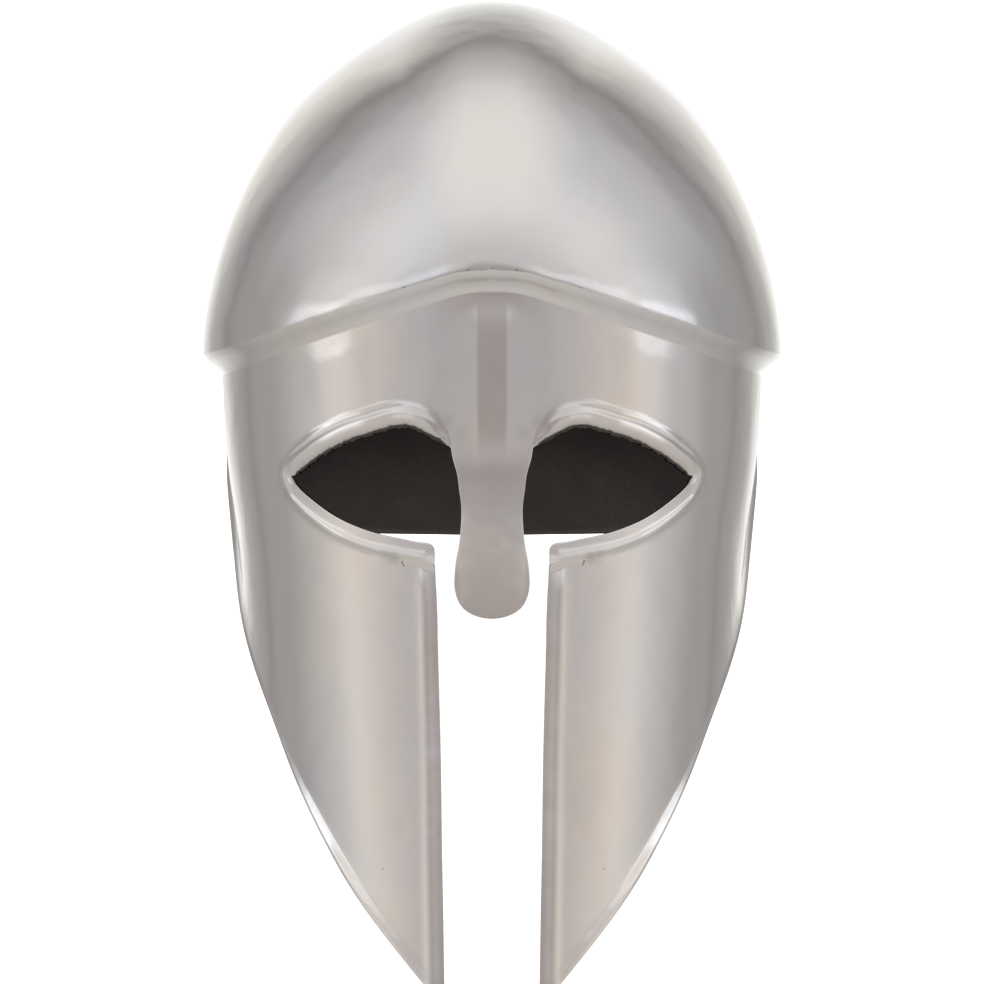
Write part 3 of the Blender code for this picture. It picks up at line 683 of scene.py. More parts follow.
@dataclass
class FaceMask(Sheet):
    """The face: forehead, rimmed eye openings, nasal bar and two long cheek plates."""

    eye_half_span: float = 66.6 * MM
    corner_height: float = 176.4 * MM
    nose_half_width: float = 12.4 * MM
    nose_bottom: float = 129.0 * MM
    nose_forward: float = 2.5 * MM
    ridge_half_width: float = 4.7 * MM
    ridge_rise: float = 0.85 * MM
    ridge_fall: float = 13.0 * MM
    ridge_top: float = 0.3
    ridge_sinking: Fade = Fade(0.0, 13.0)
    ridge_end: Fade = Fade(174.0, 20.0)
    flare_rise: float = 3.7 * MM
    flare_band: float = 9.0 * MM
    flare_start: float = 0.50
    flare_length: float = 0.48
    fringe: float = 1.2 * MM
    fringe_end: float = 0.07
    fray_share: float = 0.16
    fray_reach: float = 0.03
    fray: tuple[Wave, ...] = (Wave(71.0, 1.0, 1.0), Wave(173.0, 0.7, 2.0), Wave(311.0, 0.6))
    cut_end: float = 0.05
    cut_blend: float = 1.3 * MM
    bar_side: Fade = Fade(12.8, 4.0)
    past_bar: Fade = Fade(15.5, 8.0)
    lid_sharpening: Fade = Fade(24.0, 16.0)
    lid_joint: float = 7.0 * MM
    front_start: Fade = Fade(4.5, 9.0)
    rear_narrowing: Fade = Fade(50.0, 50.0)
    rear_taper: float = 0.9
    rear_power: float = 0.8
    tip_share: float = 0.3
    tip_fade: Fade = Fade(10.0, 44.0)
    swell_middle: float = 52.0 * MM
    swell_side: Fade = Fade(3.0, 12.0)
    above_corner: float = math.radians(46.0)
    upper_lid: tuple[Share, ...] = (
        Share(0.204, 1.052), Share(0.229, 1.061), Share(0.259, 1.069), Share(0.308, 1.079),
        Share(0.358, 1.089), Share(0.408, 1.096), Share(0.458, 1.097), Share(0.508, 1.094),
        Share(0.609, 1.083), Share(0.711, 1.071), Share(0.813, 1.053), Share(0.865, 1.042),
        Share(0.917, 1.028), Share(0.965, 1.015), Share(1.015, 0.999),
    )
    lower_lid: tuple[Share, ...] = (
        Share(0.288, 0.862), Share(0.304, 0.870), Share(0.354, 0.875), Share(0.454, 0.882),
        Share(0.560, 0.890), Share(0.661, 0.902), Share(0.763, 0.919), Share(0.866, 0.944),
        Share(0.930, 0.963), Share(0.985, 0.983), Share(1.015, 0.999),
    )
    cheek_front: tuple[Share, ...] = (
        Share(0.288, 0.862), Share(0.284, 0.813), Share(0.276, 0.766), Share(0.271, 0.691),
        Share(0.266, 0.616), Share(0.258, 0.504), Share(0.253, 0.392), Share(0.249, 0.280),
        Share(0.245, 0.205), Share(0.241, 0.112), Share(0.236, 0.002),
    )
    nose_side: tuple[Share, ...] = (
        Share(0.948, 0.134), Share(0.990, 0.180), Share(1.000, 0.235), Share(0.960, 0.345),
        Share(0.907, 0.403), Share(0.839, 0.520), Share(0.839, 0.697), Share(0.879, 0.755),
        Share(0.907, 0.813), Share(0.960, 0.871), Share(1.040, 0.930), Share(1.095, 1.000),
    )
    nose_end: tuple[Share, ...] = (
        Share(0.000, 0.000), Share(0.330, 0.010), Share(0.600, 0.034), Share(0.780, 0.064),
        Share(0.880, 0.096), Share(0.948, 0.134),
    )
    cheek_rear: tuple[Share, ...] = (
        Share(7.6, 0.002), Share(16.8, 0.111), Share(25.3, 0.212), Share(33.2, 0.312), Share(41.7, 0.414),
        Share(51.3, 0.517), Share(65.5, 0.620), Share(83.0, 0.740), Share(97.0, 0.865),
        Share(108.0, 1.000),
    )
    upper_rim: tuple[Relief, ...] = (
        Relief(0.0, 0.05), Relief(0.5, 0.32), Relief(1.2, 0.60), Relief(2.2, 0.90), Relief(3.2, 1.14),
        Relief(3.9, 1.22), Relief(4.5, 1.00), Relief(5.1, 0.52), Relief(5.8, 0.26), Relief(6.4, 0.34),
        Relief(6.9, 0.42), Relief(7.5, 0.14), Relief(8.2, 0.0),
    )
    soft_rim: tuple[Relief, ...] = (
        Relief(0.0, 0.05), Relief(0.5, 0.30), Relief(1.2, 0.55), Relief(2.2, 0.82), Relief(3.0, 0.94),
        Relief(3.7, 0.93), Relief(4.6, 0.72), Relief(5.8, 0.42), Relief(7.2, 0.18), Relief(9.0, 0.02),
        Relief(10.0, 0.0),
    )
    inner_rim: tuple[Relief, ...] = (
        Relief(0.0, 0.25), Relief(0.8, 0.46), Relief(1.6, 0.36), Relief(3.0, 0.14), Relief(5.0, 0.0),
    )
    lower_rim: tuple[Relief, ...] = (
        Relief(0.0, 0.50), Relief(1.4, 0.54), Relief(3.0, 0.64), Relief(4.2, 0.86), Relief(4.9, 1.04),
        Relief(5.4, 0.98), Relief(6.0, 0.68), Relief(6.8, 0.20), Relief(7.5, 0.0), Relief(8.2, -0.03),
        Relief(9.0, 0.0),
    )
    front_rim: tuple[Relief, ...] = (
        Relief(0.0, -0.04), Relief(0.6, 0.04), Relief(2.4, 0.23), Relief(3.6, 0.36), Relief(4.4, 0.47),
        Relief(4.8, 0.48), Relief(5.2, 0.42), Relief(6.0, 0.25), Relief(6.6, 0.13), Relief(7.2, 0.05),
        Relief(8.0, 0.0),
    )
    rear_rim: tuple[Relief, ...] = (
        Relief(0.0, 0.52), Relief(0.4, 0.70), Relief(0.8, 0.75), Relief(2.2, 0.50), Relief(3.4, 0.22),
        Relief(4.2, 0.06), Relief(5.0, 0.0),
    )
    brow_swell: tuple[Relief, ...] = (
        Relief(0.0, 0.0), Relief(2.0, 0.11), Relief(4.0, 0.23), Relief(6.0, 0.35), Relief(8.0, 0.43),
        Relief(11.0, 0.46), Relief(16.0, 0.42), Relief(28.0, 0.22), Relief(45.0, 0.0),
    )
    marks: tuple[Mark, ...] = (
        Mark(-36.3, -108.4, 46.0, 0.36, 0.6), Mark(37.0, -108.0, 46.0, 0.36, 0.6),
        Mark(-29.9, -107.6, 147.9, 0.36), Mark(-29.7, -107.6, 147.3, 0.36),
        Mark(-29.4, -107.7, 146.6, 0.36), Mark(30.6, -107.3, 148.1, 0.36),
        Mark(30.4, -107.3, 147.5, 0.36), Mark(30.1, -107.3, 146.8, 0.36),
        # These larger soft marks are painted shade: under the inner end of the lower lid's ridge and by the
        # eyes' inner corners at the nasal root.
        Mark(-32.6, -106.6, 149.3, 2.0, 0.26), Mark(-34.8, -106.0, 149.9, 2.2, 0.18),
        Mark(32.9, -106.5, 149.3, 2.0, 0.26), Mark(35.1, -105.9, 149.9, 2.2, 0.18),
        Mark(-15.8, -112.6, 194.0, 2.6, 0.16), Mark(15.8, -112.6, 194.0, 2.6, 0.16),
        Mark(-10.8, -114.0, 190.6, 2.4, 0.12), Mark(10.8, -114.0, 190.6, 2.4, 0.12),
    )
    # Painted highlights: brighter steel along the upper and lower lids and the cheek's rear rim.
    streaks: tuple[HighlightStreak, ...] = (
        HighlightStreak("upper_lid", 3.8, 0.9, 43.0, 57.0, 0.95), HighlightStreak("upper_lid", 6.9, 0.5, 44.0, 60.0, 0.7),
        HighlightStreak("upper_lid", 3.0, 0.8, 26.0, 33.0, 0.5), HighlightStreak("lower_lid", 4.9, 0.6, 50.0, 64.0, 0.5),
        HighlightStreak("cheek_rear", 1.9, 1.5, 53.0, 71.0, 1.0, True),
    )

    def line(self, rows: Sequence[Share], across: float, low: float, high: float) -> Line:
        """Return the line through rows of the face seen from the front.

        Args:
            rows: Shares of the distance from the middle plane and of the height.
            across: Size that the first share is of.
            low: Height of share 0.
            high: Height of share 1.

        Returns:
            The line on the wall.
        """
        height = np.array([low + (high - low) * row.value for row in rows])
        beside = np.array([row.at * across for row in rows])
        return Line(self.form, self.form.azimuth_at(beside, height), height)

    def lines(self) -> dict[str, Line]:
        """Return the named lines of one half of the face."""
        named = {
            name: self.line(getattr(self, name), self.eye_half_span, 0.0, self.corner_height)
            for name in ("upper_lid", "lower_lid", "cheek_front")
        }
        top = self.upper_lid[0].value * self.corner_height
        for name in ("nose_side", "nose_end"):
            named[name] = self.line(getattr(self, name), self.nose_half_width, self.nose_bottom, top)
        named["upper_cut"] = self.upper_cut(named["upper_lid"])
        rear = np.array([math.radians(row.at) for row in self.cheek_rear])
        height = np.array([row.value * self.form.notch_height for row in self.cheek_rear])
        named["cheek_rear"] = Line(self.form, rear, height)
        return named

    def hung(self, share: np.ndarray) -> np.ndarray:
        """Return how far the rough cut of the upper lid hangs below the lid's line."""
        return self.fringe * ease(share / self.fringe_end) * ease((1.0 - share) / self.fringe_end)

    def upper_cut(self, lid: Line) -> Line:
        """Return the mean line of the rough cut of the upper lid."""
        share = np.linspace(0.0, 1.0, 65)
        pair = lid(share)
        return Line(self.form, pair[:, 0], pair[:, 1] - self.hung(share))

    def frayed(self, pairs: np.ndarray, u: np.ndarray, v: np.ndarray) -> np.ndarray:
        """Return the upper lid's pairs with a ragged lower edge."""
        jagged = sum(wave.share * np.sin(wave.rate * u + wave.shift) for wave in self.fray)
        ragged = pairs.copy()
        ragged[:, 1] -= self.fray_share * self.hung(u) * jagged * np.clip(1.0 - v / self.fray_reach, 0.0, 1.0)
        return ragged

    def ridge(self, points: np.ndarray) -> np.ndarray:
        """Return the rise of the flat strip on the forehead, which fades out above the nasal bar."""
        away = np.clip((np.abs(points[:, 0]) - self.ridge_half_width) / self.ridge_fall, 0.0, 1.0)
        joint = self.form.cove_height(heading(points))
        sinking = self.ridge_top + (1.0 - self.ridge_top) * self.ridge_sinking.at(joint - points[:, 2])
        sinking = sinking * self.ridge_end.at(points[:, 2])
        return self.ridge_rise * sinking * (1.0 - away) ** 2

    def relief(self, points: np.ndarray, lines: dict[str, Line]) -> np.ndarray:
        """Return how far the rims and the ridge stand out of the wall.

        Args:
            points: Points on the plain wall.
            lines: The face's lines.

        Returns:
            One rise for each point.
        """
        from_lower = nearest(points, lines["lower_lid"].samples())
        lids = self.lids(points, lines, from_lower)
        front = profile(self.front_rim, nearest(points, lines["cheek_front"].samples()))
        front = front * self.front_start.at(from_lower)
        rear = self.rear_edge(points, nearest(points, lines["cheek_rear"].samples()))
        rise = np.maximum(rear, np.maximum(lids, self.ridge(points)))
        return rise + front + self.swell(points)

    def lids(self, points: np.ndarray, lines: dict[str, Line], from_lower: np.ndarray) -> np.ndarray:
        """Return the rise of the rims round the eye opening.

        Args:
            points: Points on the plain wall.
            lines: The face's lines.
            from_lower: The points' distances from the lower lid.

        Returns:
            One rise for each point.
        """
        lid = lines["upper_lid"].samples()
        from_lid = nearest(points, lid)
        under = np.interp(points[:, 0], lid[:, 0], lid[:, 2], left=0.0, right=0.0) > points[:, 2]
        from_lid = np.where(under & (from_lid < 2.0 * self.fringe), 0.0, from_lid)
        close = np.minimum(from_lid, from_lower)
        above = ease(0.5 + (from_lower - from_lid) / self.lid_joint)
        sharp = self.lid_sharpening.at(points[:, 0])
        fade = self.past_bar.at(points[:, 0])
        upper = profile(self.upper_rim, close) * sharp + profile(self.soft_rim, close) * (1.0 - sharp)
        inner = profile(self.inner_rim, close) * (1.0 - fade) * self.bar_side.at(points[:, 0])
        return (upper * fade + inner) * above + profile(self.lower_rim, close) * (1.0 - above)

    def rear_edge(self, points: np.ndarray, away: np.ndarray) -> np.ndarray:
        """Return the rise of the cheek's rear rim, which turns into the flare at the notch.

        Args:
            points: Points on the plain wall.
            away: The points' distances from the rear edge.

        Returns:
            One rise for each point.
        """
        narrower = 1.0 + self.rear_taper * self.rear_narrowing.at(points[:, 2])
        rim = profile(self.rear_rim, away * narrower) / narrower ** self.rear_power
        rim = rim * (self.tip_share + (1.0 - self.tip_share) * self.tip_fade.at(points[:, 2]))
        growing = ease((points[:, 2] / self.form.notch_height - self.flare_start) / self.flare_length)
        flare = self.flare_rise * growing * np.clip(1.0 - away / self.flare_band, 0.0, 1.0) ** 2
        return rim * (1.0 - growing) + flare

    def swell(self, points: np.ndarray) -> np.ndarray:
        """Return the soft swelling on each side of the forehead, under the skull's folded edge."""
        below = self.form.cove_height(heading(points)) - points[:, 2]
        away = np.abs(np.abs(points[:, 0]) - self.swell_middle)
        return profile(self.brow_swell, np.maximum(below, 0.0)) * (1.0 - self.swell_side.at(away))

    def surface(self, pairs: np.ndarray, lines: dict[str, Line]) -> np.ndarray:
        """Return the shaped outside of the face for direction and height pairs."""
        points = self.form.points(pairs[:, 0], pairs[:, 1])
        points = points + self.form.outward(pairs[:, 0], pairs[:, 1]) * self.relief(points, lines)[:, None]
        inner = self.upper_lid[0].value * self.corner_height
        on_bar = (points[:, 0] < 1.3 * self.nose_half_width) & (points[:, 2] < inner)
        on_bar = on_bar & (points[:, 2] > self.nose_bottom - 2.0 * MM)
        forward = self.nose_forward * ease((inner - points[:, 2]) / (inner - self.nose_bottom))
        points[:, 1] -= np.where(on_bar, forward, 0.0)
        return points

    def foot(self, azimuth: float) -> tuple[float, float]:
        """Return the direction and height of the wall's top below the skull."""
        return azimuth, float(self.form.cove_height(np.array(azimuth))) + self.form.lap

    def build(self) -> bpy.types.Object:
        """Build the face and return it."""
        form = self.form
        lines = self.lines()
        inner = lines["upper_lid"](0.0)
        outer = lines["upper_lid"](1.0)
        notch = lines["cheek_rear"](1.0)
        above_inner = float(inner[0]) * 1.05
        bridge = straight(form, (0.0, float(inner[1])), inner)
        brow_left = straight(form, inner, self.foot(above_inner))
        brow_right = straight(form, outer, self.foot(self.above_corner))
        temple = straight(form, outer, notch)
        joint = straight(form, notch, self.foot(float(notch[0])))
        bar_middle = straight(form, (0.0, self.nose_bottom), (0.0, float(inner[1])))
        brow_middle = straight(form, (0.0, float(inner[1])), self.foot(0.0))
        rim_rows = np.concatenate([np.arange(1, 9) * 0.005, 0.04 + np.arange(1, 17) * 0.0115])
        up = graded(18, near=rim_rows, far=(0.003, 0.008, 0.02))
        bar = graded(26)
        back = graded(42, near=np.arange(1, 20) * 0.0037, far=np.arange(1, 15) * 0.0037)
        down = graded(46, near=np.arange(1, 31) * 0.003)
        lid_top = cove_line(form, above_inner, self.above_corner)
        lid = coons(lines["upper_cut"], lid_top, brow_left, brow_right)
        patches = (
            (coons(lines["nose_end"], bridge, bar_middle, lines["nose_side"]), bar, graded(84)),
            (coons(bridge, cove_line(form, 0.0, above_inner), brow_middle, brow_left), bar, up),
            (lambda u, v: self.frayed(lid(u, v), u, v), graded(128), up),
            (coons(temple, cove_line(form, self.above_corner, float(notch[0])), brow_right, joint), back, up),
            (coons(lines["cheek_front"], temple, lines["lower_lid"], lines["cheek_rear"]), back, down),
        )
        for fill, across, along in patches:
            self.grid(across, along, lambda u, v, fill=fill: self.surface(fill(u, v), lines))
        self.mirror()
        self.mark_raw_edge(lines["upper_lid"])
        self.mark_painted_highlights(lines)
        return self.finish()

    def mark_raw_edge(self, lid: Line) -> None:
        """Store how far each point of the fringe is below the upper lid's line, and above the line a value
        that fades away from it and paints shade on the lip near the cut, for the steel's finish.
        """
        points = self.folded()
        samples = lid.samples()
        below = np.interp(points[:, 0], samples[:, 0], samples[:, 2], left=0.0, right=0.0) - points[:, 2]
        share = (points[:, 0] - samples[0, 0]) / (samples[-1, 0] - samples[0, 0])
        window = ease(share / self.cut_end) * ease((1.0 - share) / self.cut_end)
        # Above the line: a fading value that paints darker shade on the lip towards the cut.
        above = 0.5 * np.exp(np.minimum(below, 0.0) / self.cut_blend)
        depth = np.where(below < 0.0, above, np.minimum(0.5 + below / self.fringe, 1.0))
        self.store("raw_edge", np.where(below < 2.0 * self.fringe, depth, 0.0) * window)

    def mark_painted_highlights(self, lines: dict[str, Line]) -> None:
        """Store where the rims are worn bright, which paints their highlights into the steel's colour."""
        points = self.folded()
        total = np.zeros(len(points))
        for streak in self.streaks:
            away = nearest(points, lines[streak.line].samples())
            along = points[:, 2] if streak.upright else points[:, 0]
            total = np.maximum(total, streak.strength(along, away))
        self.store("rubbed_highlight", total)


@dataclass
class NeckGuard(Sheet):
    """The rear wall from joint to joint, flared to a beaded rim that the helmet stands on."""

    bead: float = 1.1 * MM
    bead_band: float = 4.5 * MM
    notch_flare: float = 3.7 * MM
    notch_band: float = 9.0 * MM
    notch_span: float = math.radians(22.0)

    def rim(self, start: float) -> Line:
        """Return the rim from the joint to the middle of the nape."""
        form = self.form
        share = np.linspace(0.0, 1.0, 41)
        azimuth = form.notch_azimuth + (math.pi - form.notch_azimuth) * share
        height = form.notch_height + (form.nape_height - form.notch_height) * curve_of(form.nape)(share)
        azimuth[0] = start
        return Line(form, azimuth, height)

    def surface(self, pairs: np.ndarray, rim: np.ndarray) -> np.ndarray:
        """Return the shaped outside of the guard for direction and height pairs."""
        points = self.form.points(pairs[:, 0], pairs[:, 1])
        near_notch = 1.0 - ease((pairs[:, 0] - self.form.notch_azimuth) / self.notch_span)
        distance = nearest(points, rim)
        bead = self.bead * (1.0 - ease(distance / self.bead_band))
        flare = self.notch_flare * np.clip(1.0 - distance / self.notch_band, 0.0, 1.0) ** 2
        bump = bead + (flare - bead) * near_notch
        return points + self.form.outward(pairs[:, 0], pairs[:, 1]) * bump[:, None]

    def build(self) -> bpy.types.Object:
        """Build the neck guard and return it."""
        form = self.form
        start = form.notch_azimuth - form.lap / form.skull_half_width
        rim = self.rim(start)
        top = cove_line(form, start, math.pi)
        side = straight(form, rim(0.0), top(0.0))
        middle = straight(form, rim(1.0), top(1.0))
        fill = coons(rim, top, side, middle)
        samples = rim.samples()
        rim_rows = np.arange(1, 14) * 0.012
        self.grid(graded(110), graded(22, near=rim_rows), lambda u, v: self.surface(fill(u, v), samples))
        self.mirror()
        self.store("raw_edge", np.zeros(len(self.mesh.verts)))
        return self.finish()


class Texture(NamedTuple):
    """A noise pattern: its scale, detail, roughness and the stretch of its place along each axis."""

    scale: float
    detail: float
    roughness: float = 0.5
    stretch: Colour = (1.0, 1.0, 1.0)


class Bumps(NamedTuple):
    """A low relief of the surface: its pattern, its height and its strength."""

    texture: Texture
    height: float
    strength: float


class Nodes:
    """A short hand for wiring the nodes of a material or of the world."""

    def __init__(self, owner: bpy.types.Material | bpy.types.World) -> None:
        """Turn the owner's nodes on and keep its tree."""
        owner.use_nodes = True
        self.owner = owner
        self.tree = owner.node_tree

    @property
    def shader(self) -> bpy.types.Node:
        """Return the material's surface shader."""
        return self.tree.nodes["Principled BSDF"]

    def add(self, kind: str, **settings: object) -> bpy.types.Node:
        """Add a node and set its properties.

        Args:
            kind: The node's type.
            settings: Properties of the node.

        Returns:
            The new node.
        """
        node = self.tree.nodes.new(kind)
        for key, value in settings.items():
            setattr(node, key, value)
        return node

    def link(self, start: bpy.types.NodeSocket, end: bpy.types.NodeSocket) -> None:
        """Wire one socket to another."""
        self.tree.links.new(start, end)

    def dress(self, values: dict[str, object]) -> None:
        """Set or wire the surface shader's inputs by name."""
        for name, value in values.items():
            socket = self.shader.inputs[name]
            if isinstance(value, Socket):
                self.link(value, socket)
            else:
                socket.default_value = value

    def place(self, stretch: Sequence[float] = (1.0, 1.0, 1.0)) -> Socket:
        """Return the piece's own coordinates, scaled along each axis."""
        source = self.add("ShaderNodeTexCoord")
        mapping = self.add("ShaderNodeMapping")
        mapping.inputs["Scale"].default_value = stretch
        self.link(source.outputs["Object"], mapping.inputs["Vector"])
        return mapping.outputs["Vector"]

    def stored(self, name: str) -> Socket:
        """Return a value that the mesh stores for each point."""
        return self.add("ShaderNodeAttribute", attribute_name=name).outputs["Fac"]

    def noise(self, texture: Texture) -> Socket:
        """Return a noise pattern's strength at each place."""
        node = self.add("ShaderNodeTexNoise")
        node.inputs["Scale"].default_value = texture.scale
        node.inputs["Detail"].default_value = texture.detail
        node.inputs["Roughness"].default_value = texture.roughness
        self.link(self.place(texture.stretch), node.inputs["Vector"])
        return node.outputs["Fac"]

    def between(self, value: Socket, old: Span, new: Span = (0.0, 1.0), kind: str = "LINEAR") -> Socket:
        """Return a value moved from one range to another and held inside it."""
        node = self.add("ShaderNodeMapRange", clamp=True, interpolation_type=kind)
        for name, limit in zip(("From Min", "From Max", "To Min", "To Max"), (*old, *new)):
            node.inputs[name].default_value = limit
        self.link(value, node.inputs["Value"])
        return node.outputs["Result"]

    def maths(self, kind: str, first: Socket, second: Socket | float) -> Socket:
        """Return the result of one arithmetic step."""
        node = self.add("ShaderNodeMath", operation=kind)
        self.link(first, node.inputs[0])
        if isinstance(second, float):
            node.inputs[1].default_value = second
        else:
            self.link(second, node.inputs[1])
        return node.outputs[0]

    def mix(self, share: Socket | float, first: Tone, second: Tone, kind: str = "MIX") -> Socket:
        """Return a blend of two colours."""
        node = self.add("ShaderNodeMix", data_type="RGBA", blend_type=kind)
        if isinstance(share, float):
            node.inputs[0].default_value = share
        else:
            self.link(share, node.inputs[0])
        for socket, colour in ((node.inputs[6], first), (node.inputs[7], second)):
            if isinstance(colour, Socket):
                self.link(colour, socket)
            else:
                socket.default_value = (*colour, 1.0)
        return node.outputs[2]

    def bump(self, height: Socket, distance: float, strength: float, below: Socket | None = None) -> Socket:
        """Return the shading direction of a low relief, laid over another one."""
        node = self.add("ShaderNodeBump")
        node.inputs["Distance"].default_value = distance
        node.inputs["Strength"].default_value = strength
        self.link(height, node.inputs["Height"])
        if below is not None:
            self.link(below, node.inputs["Normal"])
        return node.outputs["Normal"]


@dataclass(frozen=True)
class PolishedSteel:
    """Hand polished sheet steel: soft reflections, faint tints, fine scratches and a few small pit marks; on
    the face also painted shade and painted highlights.
    """

    name: str
    cool: Colour = (0.625, 0.612, 0.630)
    warm: Colour = (0.641, 0.612, 0.590)
    pit_and_shade_colour: Colour = (0.05, 0.045, 0.04)
    rubbed_highlight: Colour = (0.96, 0.95, 0.94)
    painted_cut_shade: Colour = (0.24, 0.22, 0.20)
    burred: Colour = (0.075, 0.066, 0.058)
    smooth: float = 0.12
    dull: float = 0.19
    burr_roughness: float = 0.55
    hammered: float = 0.09 * MM
    raw_edge: bool = False
    marks: tuple[Mark, ...] = ()
    stance: Stance = Stance()
    patches: Texture = Texture(24.0, 3.0, stretch=(1.0, 1.0, 0.6))
    streaks: Texture = Texture(160.0, 4.0, stretch=(1.0, 1.0, 0.12))
    pit_edge: Texture = Texture(1900.0, 2.0)
    burr_edge: Texture = Texture(520.0, 4.0, 0.7)
    cloud: Texture = Texture(30.0, 5.0, 0.6)
    brushed: Texture = Texture(700.0, 3.0, stretch=(1.0, 1.0, 0.08))

    def tint(self, nodes: Nodes) -> Socket:
        """Return the steel's colour: cool and warm patches with faint streaks."""
        patches = nodes.between(nodes.noise(self.patches), (0.36, 0.64), (0.0, 0.85))
        streaks = nodes.between(nodes.noise(self.streaks), MIDDLE, (0.0, 0.2))
        colour = nodes.mix(nodes.maths("ADD", patches, streaks), self.cool, self.warm)
        if self.marks:
            # Pitting and stains, and soft patches of painted shade from the larger marks.
            colour = nodes.mix(self.pits_and_shade(nodes), colour, self.pit_and_shade_colour)
        if self.raw_edge:
            # Worn, brighter steel that paints in the rims' highlights.
            colour = nodes.mix(nodes.stored("rubbed_highlight"), colour, self.rubbed_highlight)
            # Painted shade: the lip darkens towards the upper lid's cut.
            near = nodes.between(nodes.stored("raw_edge"), (0.04, 0.5), (0.0, 0.42))
            colour = nodes.mix(near, colour, self.painted_cut_shade)
            colour = nodes.mix(self.burr(nodes), colour, self.burred)
        return colour

    def pits_and_shade(self, nodes: Nodes) -> Socket:
        """Return where the pitting and stains are, and the soft patches of painted shade."""
        place = nodes.place()
        ragged = nodes.noise(self.pit_edge)
        total = None
        for mark in self.marks:
            away = nodes.add("ShaderNodeVectorMath", operation="DISTANCE")
            nodes.link(place, away.inputs[0])
            away.inputs[1].default_value = self.stance.stood(mark[:3])
            share = nodes.maths("MULTIPLY", away.outputs["Value"], 1.0 / (mark.radius * MM))
            share = nodes.maths("ADD", share, ragged)
            inside = nodes.between(share, mark.edge(), (mark.tone, 0.0), "SMOOTHSTEP")
            total = inside if total is None else nodes.maths("MAXIMUM", total, inside)
        return total

    def burr(self, nodes: Nodes) -> Socket:
        """Return where the rough, dark cut of the upper lid shows."""
        ragged = nodes.between(nodes.noise(self.burr_edge), (0.25, 0.75), (-0.22, 0.22))
        return nodes.between(nodes.maths("ADD", nodes.stored("raw_edge"), ragged), (0.42, 0.72))

    def relief(self, nodes: Nodes) -> Socket:
        """Return the hammered waves, the scratches and the grain."""
        layers = (
            Bumps(Texture(27.0, 2.0), 0.65 * MM, 0.9),
            Bumps(Texture(48.0, 2.0, stretch=(1.0, 1.0, 0.4)), self.hammered, 0.9),
            Bumps(Texture(95.0, 2.0), 0.09 * MM, 0.9),
            Bumps(Texture(1500.0, 4.0, 0.7, (1.0, 0.9, 0.05)), 0.010 * MM, 0.5),
            Bumps(Texture(1900.0, 2.0), 0.006 * MM, 0.5),
        )
        normal = None
        for layer in layers:
            normal = nodes.bump(nodes.noise(layer.texture), layer.height, layer.strength, normal)
        return normal

    def make(self) -> bpy.types.Material:
        """Return the finished material."""
        nodes = Nodes(bpy.data.materials.new(self.name))
        rough = nodes.between(nodes.noise(self.cloud), MIDDLE, (self.smooth, self.dull))
        brushed = nodes.between(nodes.noise(self.brushed), MIDDLE, (-0.025, 0.025))
        rough = nodes.maths("ADD", rough, brushed)
        if self.raw_edge:
            burr = nodes.maths("MULTIPLY", self.burr(nodes), self.burr_roughness)
            rough = nodes.maths("MAXIMUM", rough, burr)
        nodes.dress({
            "Metallic": 1.0, "Base Color": self.tint(nodes), "Roughness": rough, "Normal": self.relief(nodes),
        })
        return nodes.owner


@dataclass(frozen=True)
class DarkInside:
    """Matt brown-black paint on the inside of the sheet."""

    name: str
    deep: Colour = (0.0120, 0.0098, 0.0084)
    dusty: Colour = (0.0230, 0.0190, 0.0160)
    cloud: Texture = Texture(26.0, 5.0, 0.6)
    speck: Texture = Texture(900.0, 4.0, 0.7)
    speck_height: float = 0.05 * MM
    gloss: float = 0.3
    roughness: Span = (0.62, 0.86)

    def make(self) -> bpy.types.Material:
        """Return the finished material."""
        nodes = Nodes(bpy.data.materials.new(self.name))
        dust = nodes.between(nodes.noise(self.cloud), (0.35, 0.7))
        speck = nodes.noise(self.speck)
        nodes.dress({
            "Base Color": nodes.mix(dust, self.deep, self.dusty), "Specular IOR Level": self.gloss,
            "Roughness": nodes.between(speck, MIDDLE, self.roughness),
            "Normal": nodes.bump(speck, self.speck_height, 0.5),
        })
        return nodes.owner


@dataclass(frozen=True)
class CutEdge:
    """The sheet's cut edge: filed bright steel with faint file marks, dark where the cut was left raw."""

    name: str
    bright: Colour = (0.56, 0.55, 0.53)
    dark: Colour = (0.30, 0.28, 0.26)
    raw: Colour = (0.030, 0.026, 0.022)
    raw_gloss: Colour = (0.1, 0.1, 0.1)
    filed: Texture = Texture(700.0, 4.0, 0.7)
    file_depth: float = 0.03 * MM
    roughness: Span = (0.26, 0.46)

    def make(self) -> bpy.types.Material:
        """Return the finished material."""
        nodes = Nodes(bpy.data.materials.new(self.name))
        marks = nodes.noise(self.filed)
        colour = nodes.mix(nodes.between(marks, (0.4, 0.75), (0.0, 0.8)), self.bright, self.dark)
        rough_cut = nodes.between(nodes.stored("raw_edge"), (0.2, 0.45))
        nodes.dress({
            "Metallic": 1.0, "Base Color": nodes.mix(rough_cut, colour, self.raw),
            "Specular Tint": nodes.mix(rough_cut, WHITE, self.raw_gloss),
            "Roughness": nodes.between(marks, MIDDLE, self.roughness),
            "Normal": nodes.bump(marks, self.file_depth, 0.5),
        })
        return nodes.owner


@dataclass(frozen=True)
class Softbox:
    """One large soft light: where it is, what it faces, its size and its power."""

    name: str
    place: tuple[float, float, float]
    target: tuple[float, float, float]
    width: float
    height: float
    power: float
    colour: Colour = WHITE


def aim(place: Sequence[float], target: Sequence[float]) -> Matrix:
    """Return the placing of a light or camera that looks from a place to a target."""
    direction = Vector(target) - Vector(place)
    return Matrix.Translation(Vector(place)) @ direction.to_track_quat("-Z", "Y").to_matrix().to_4x4()


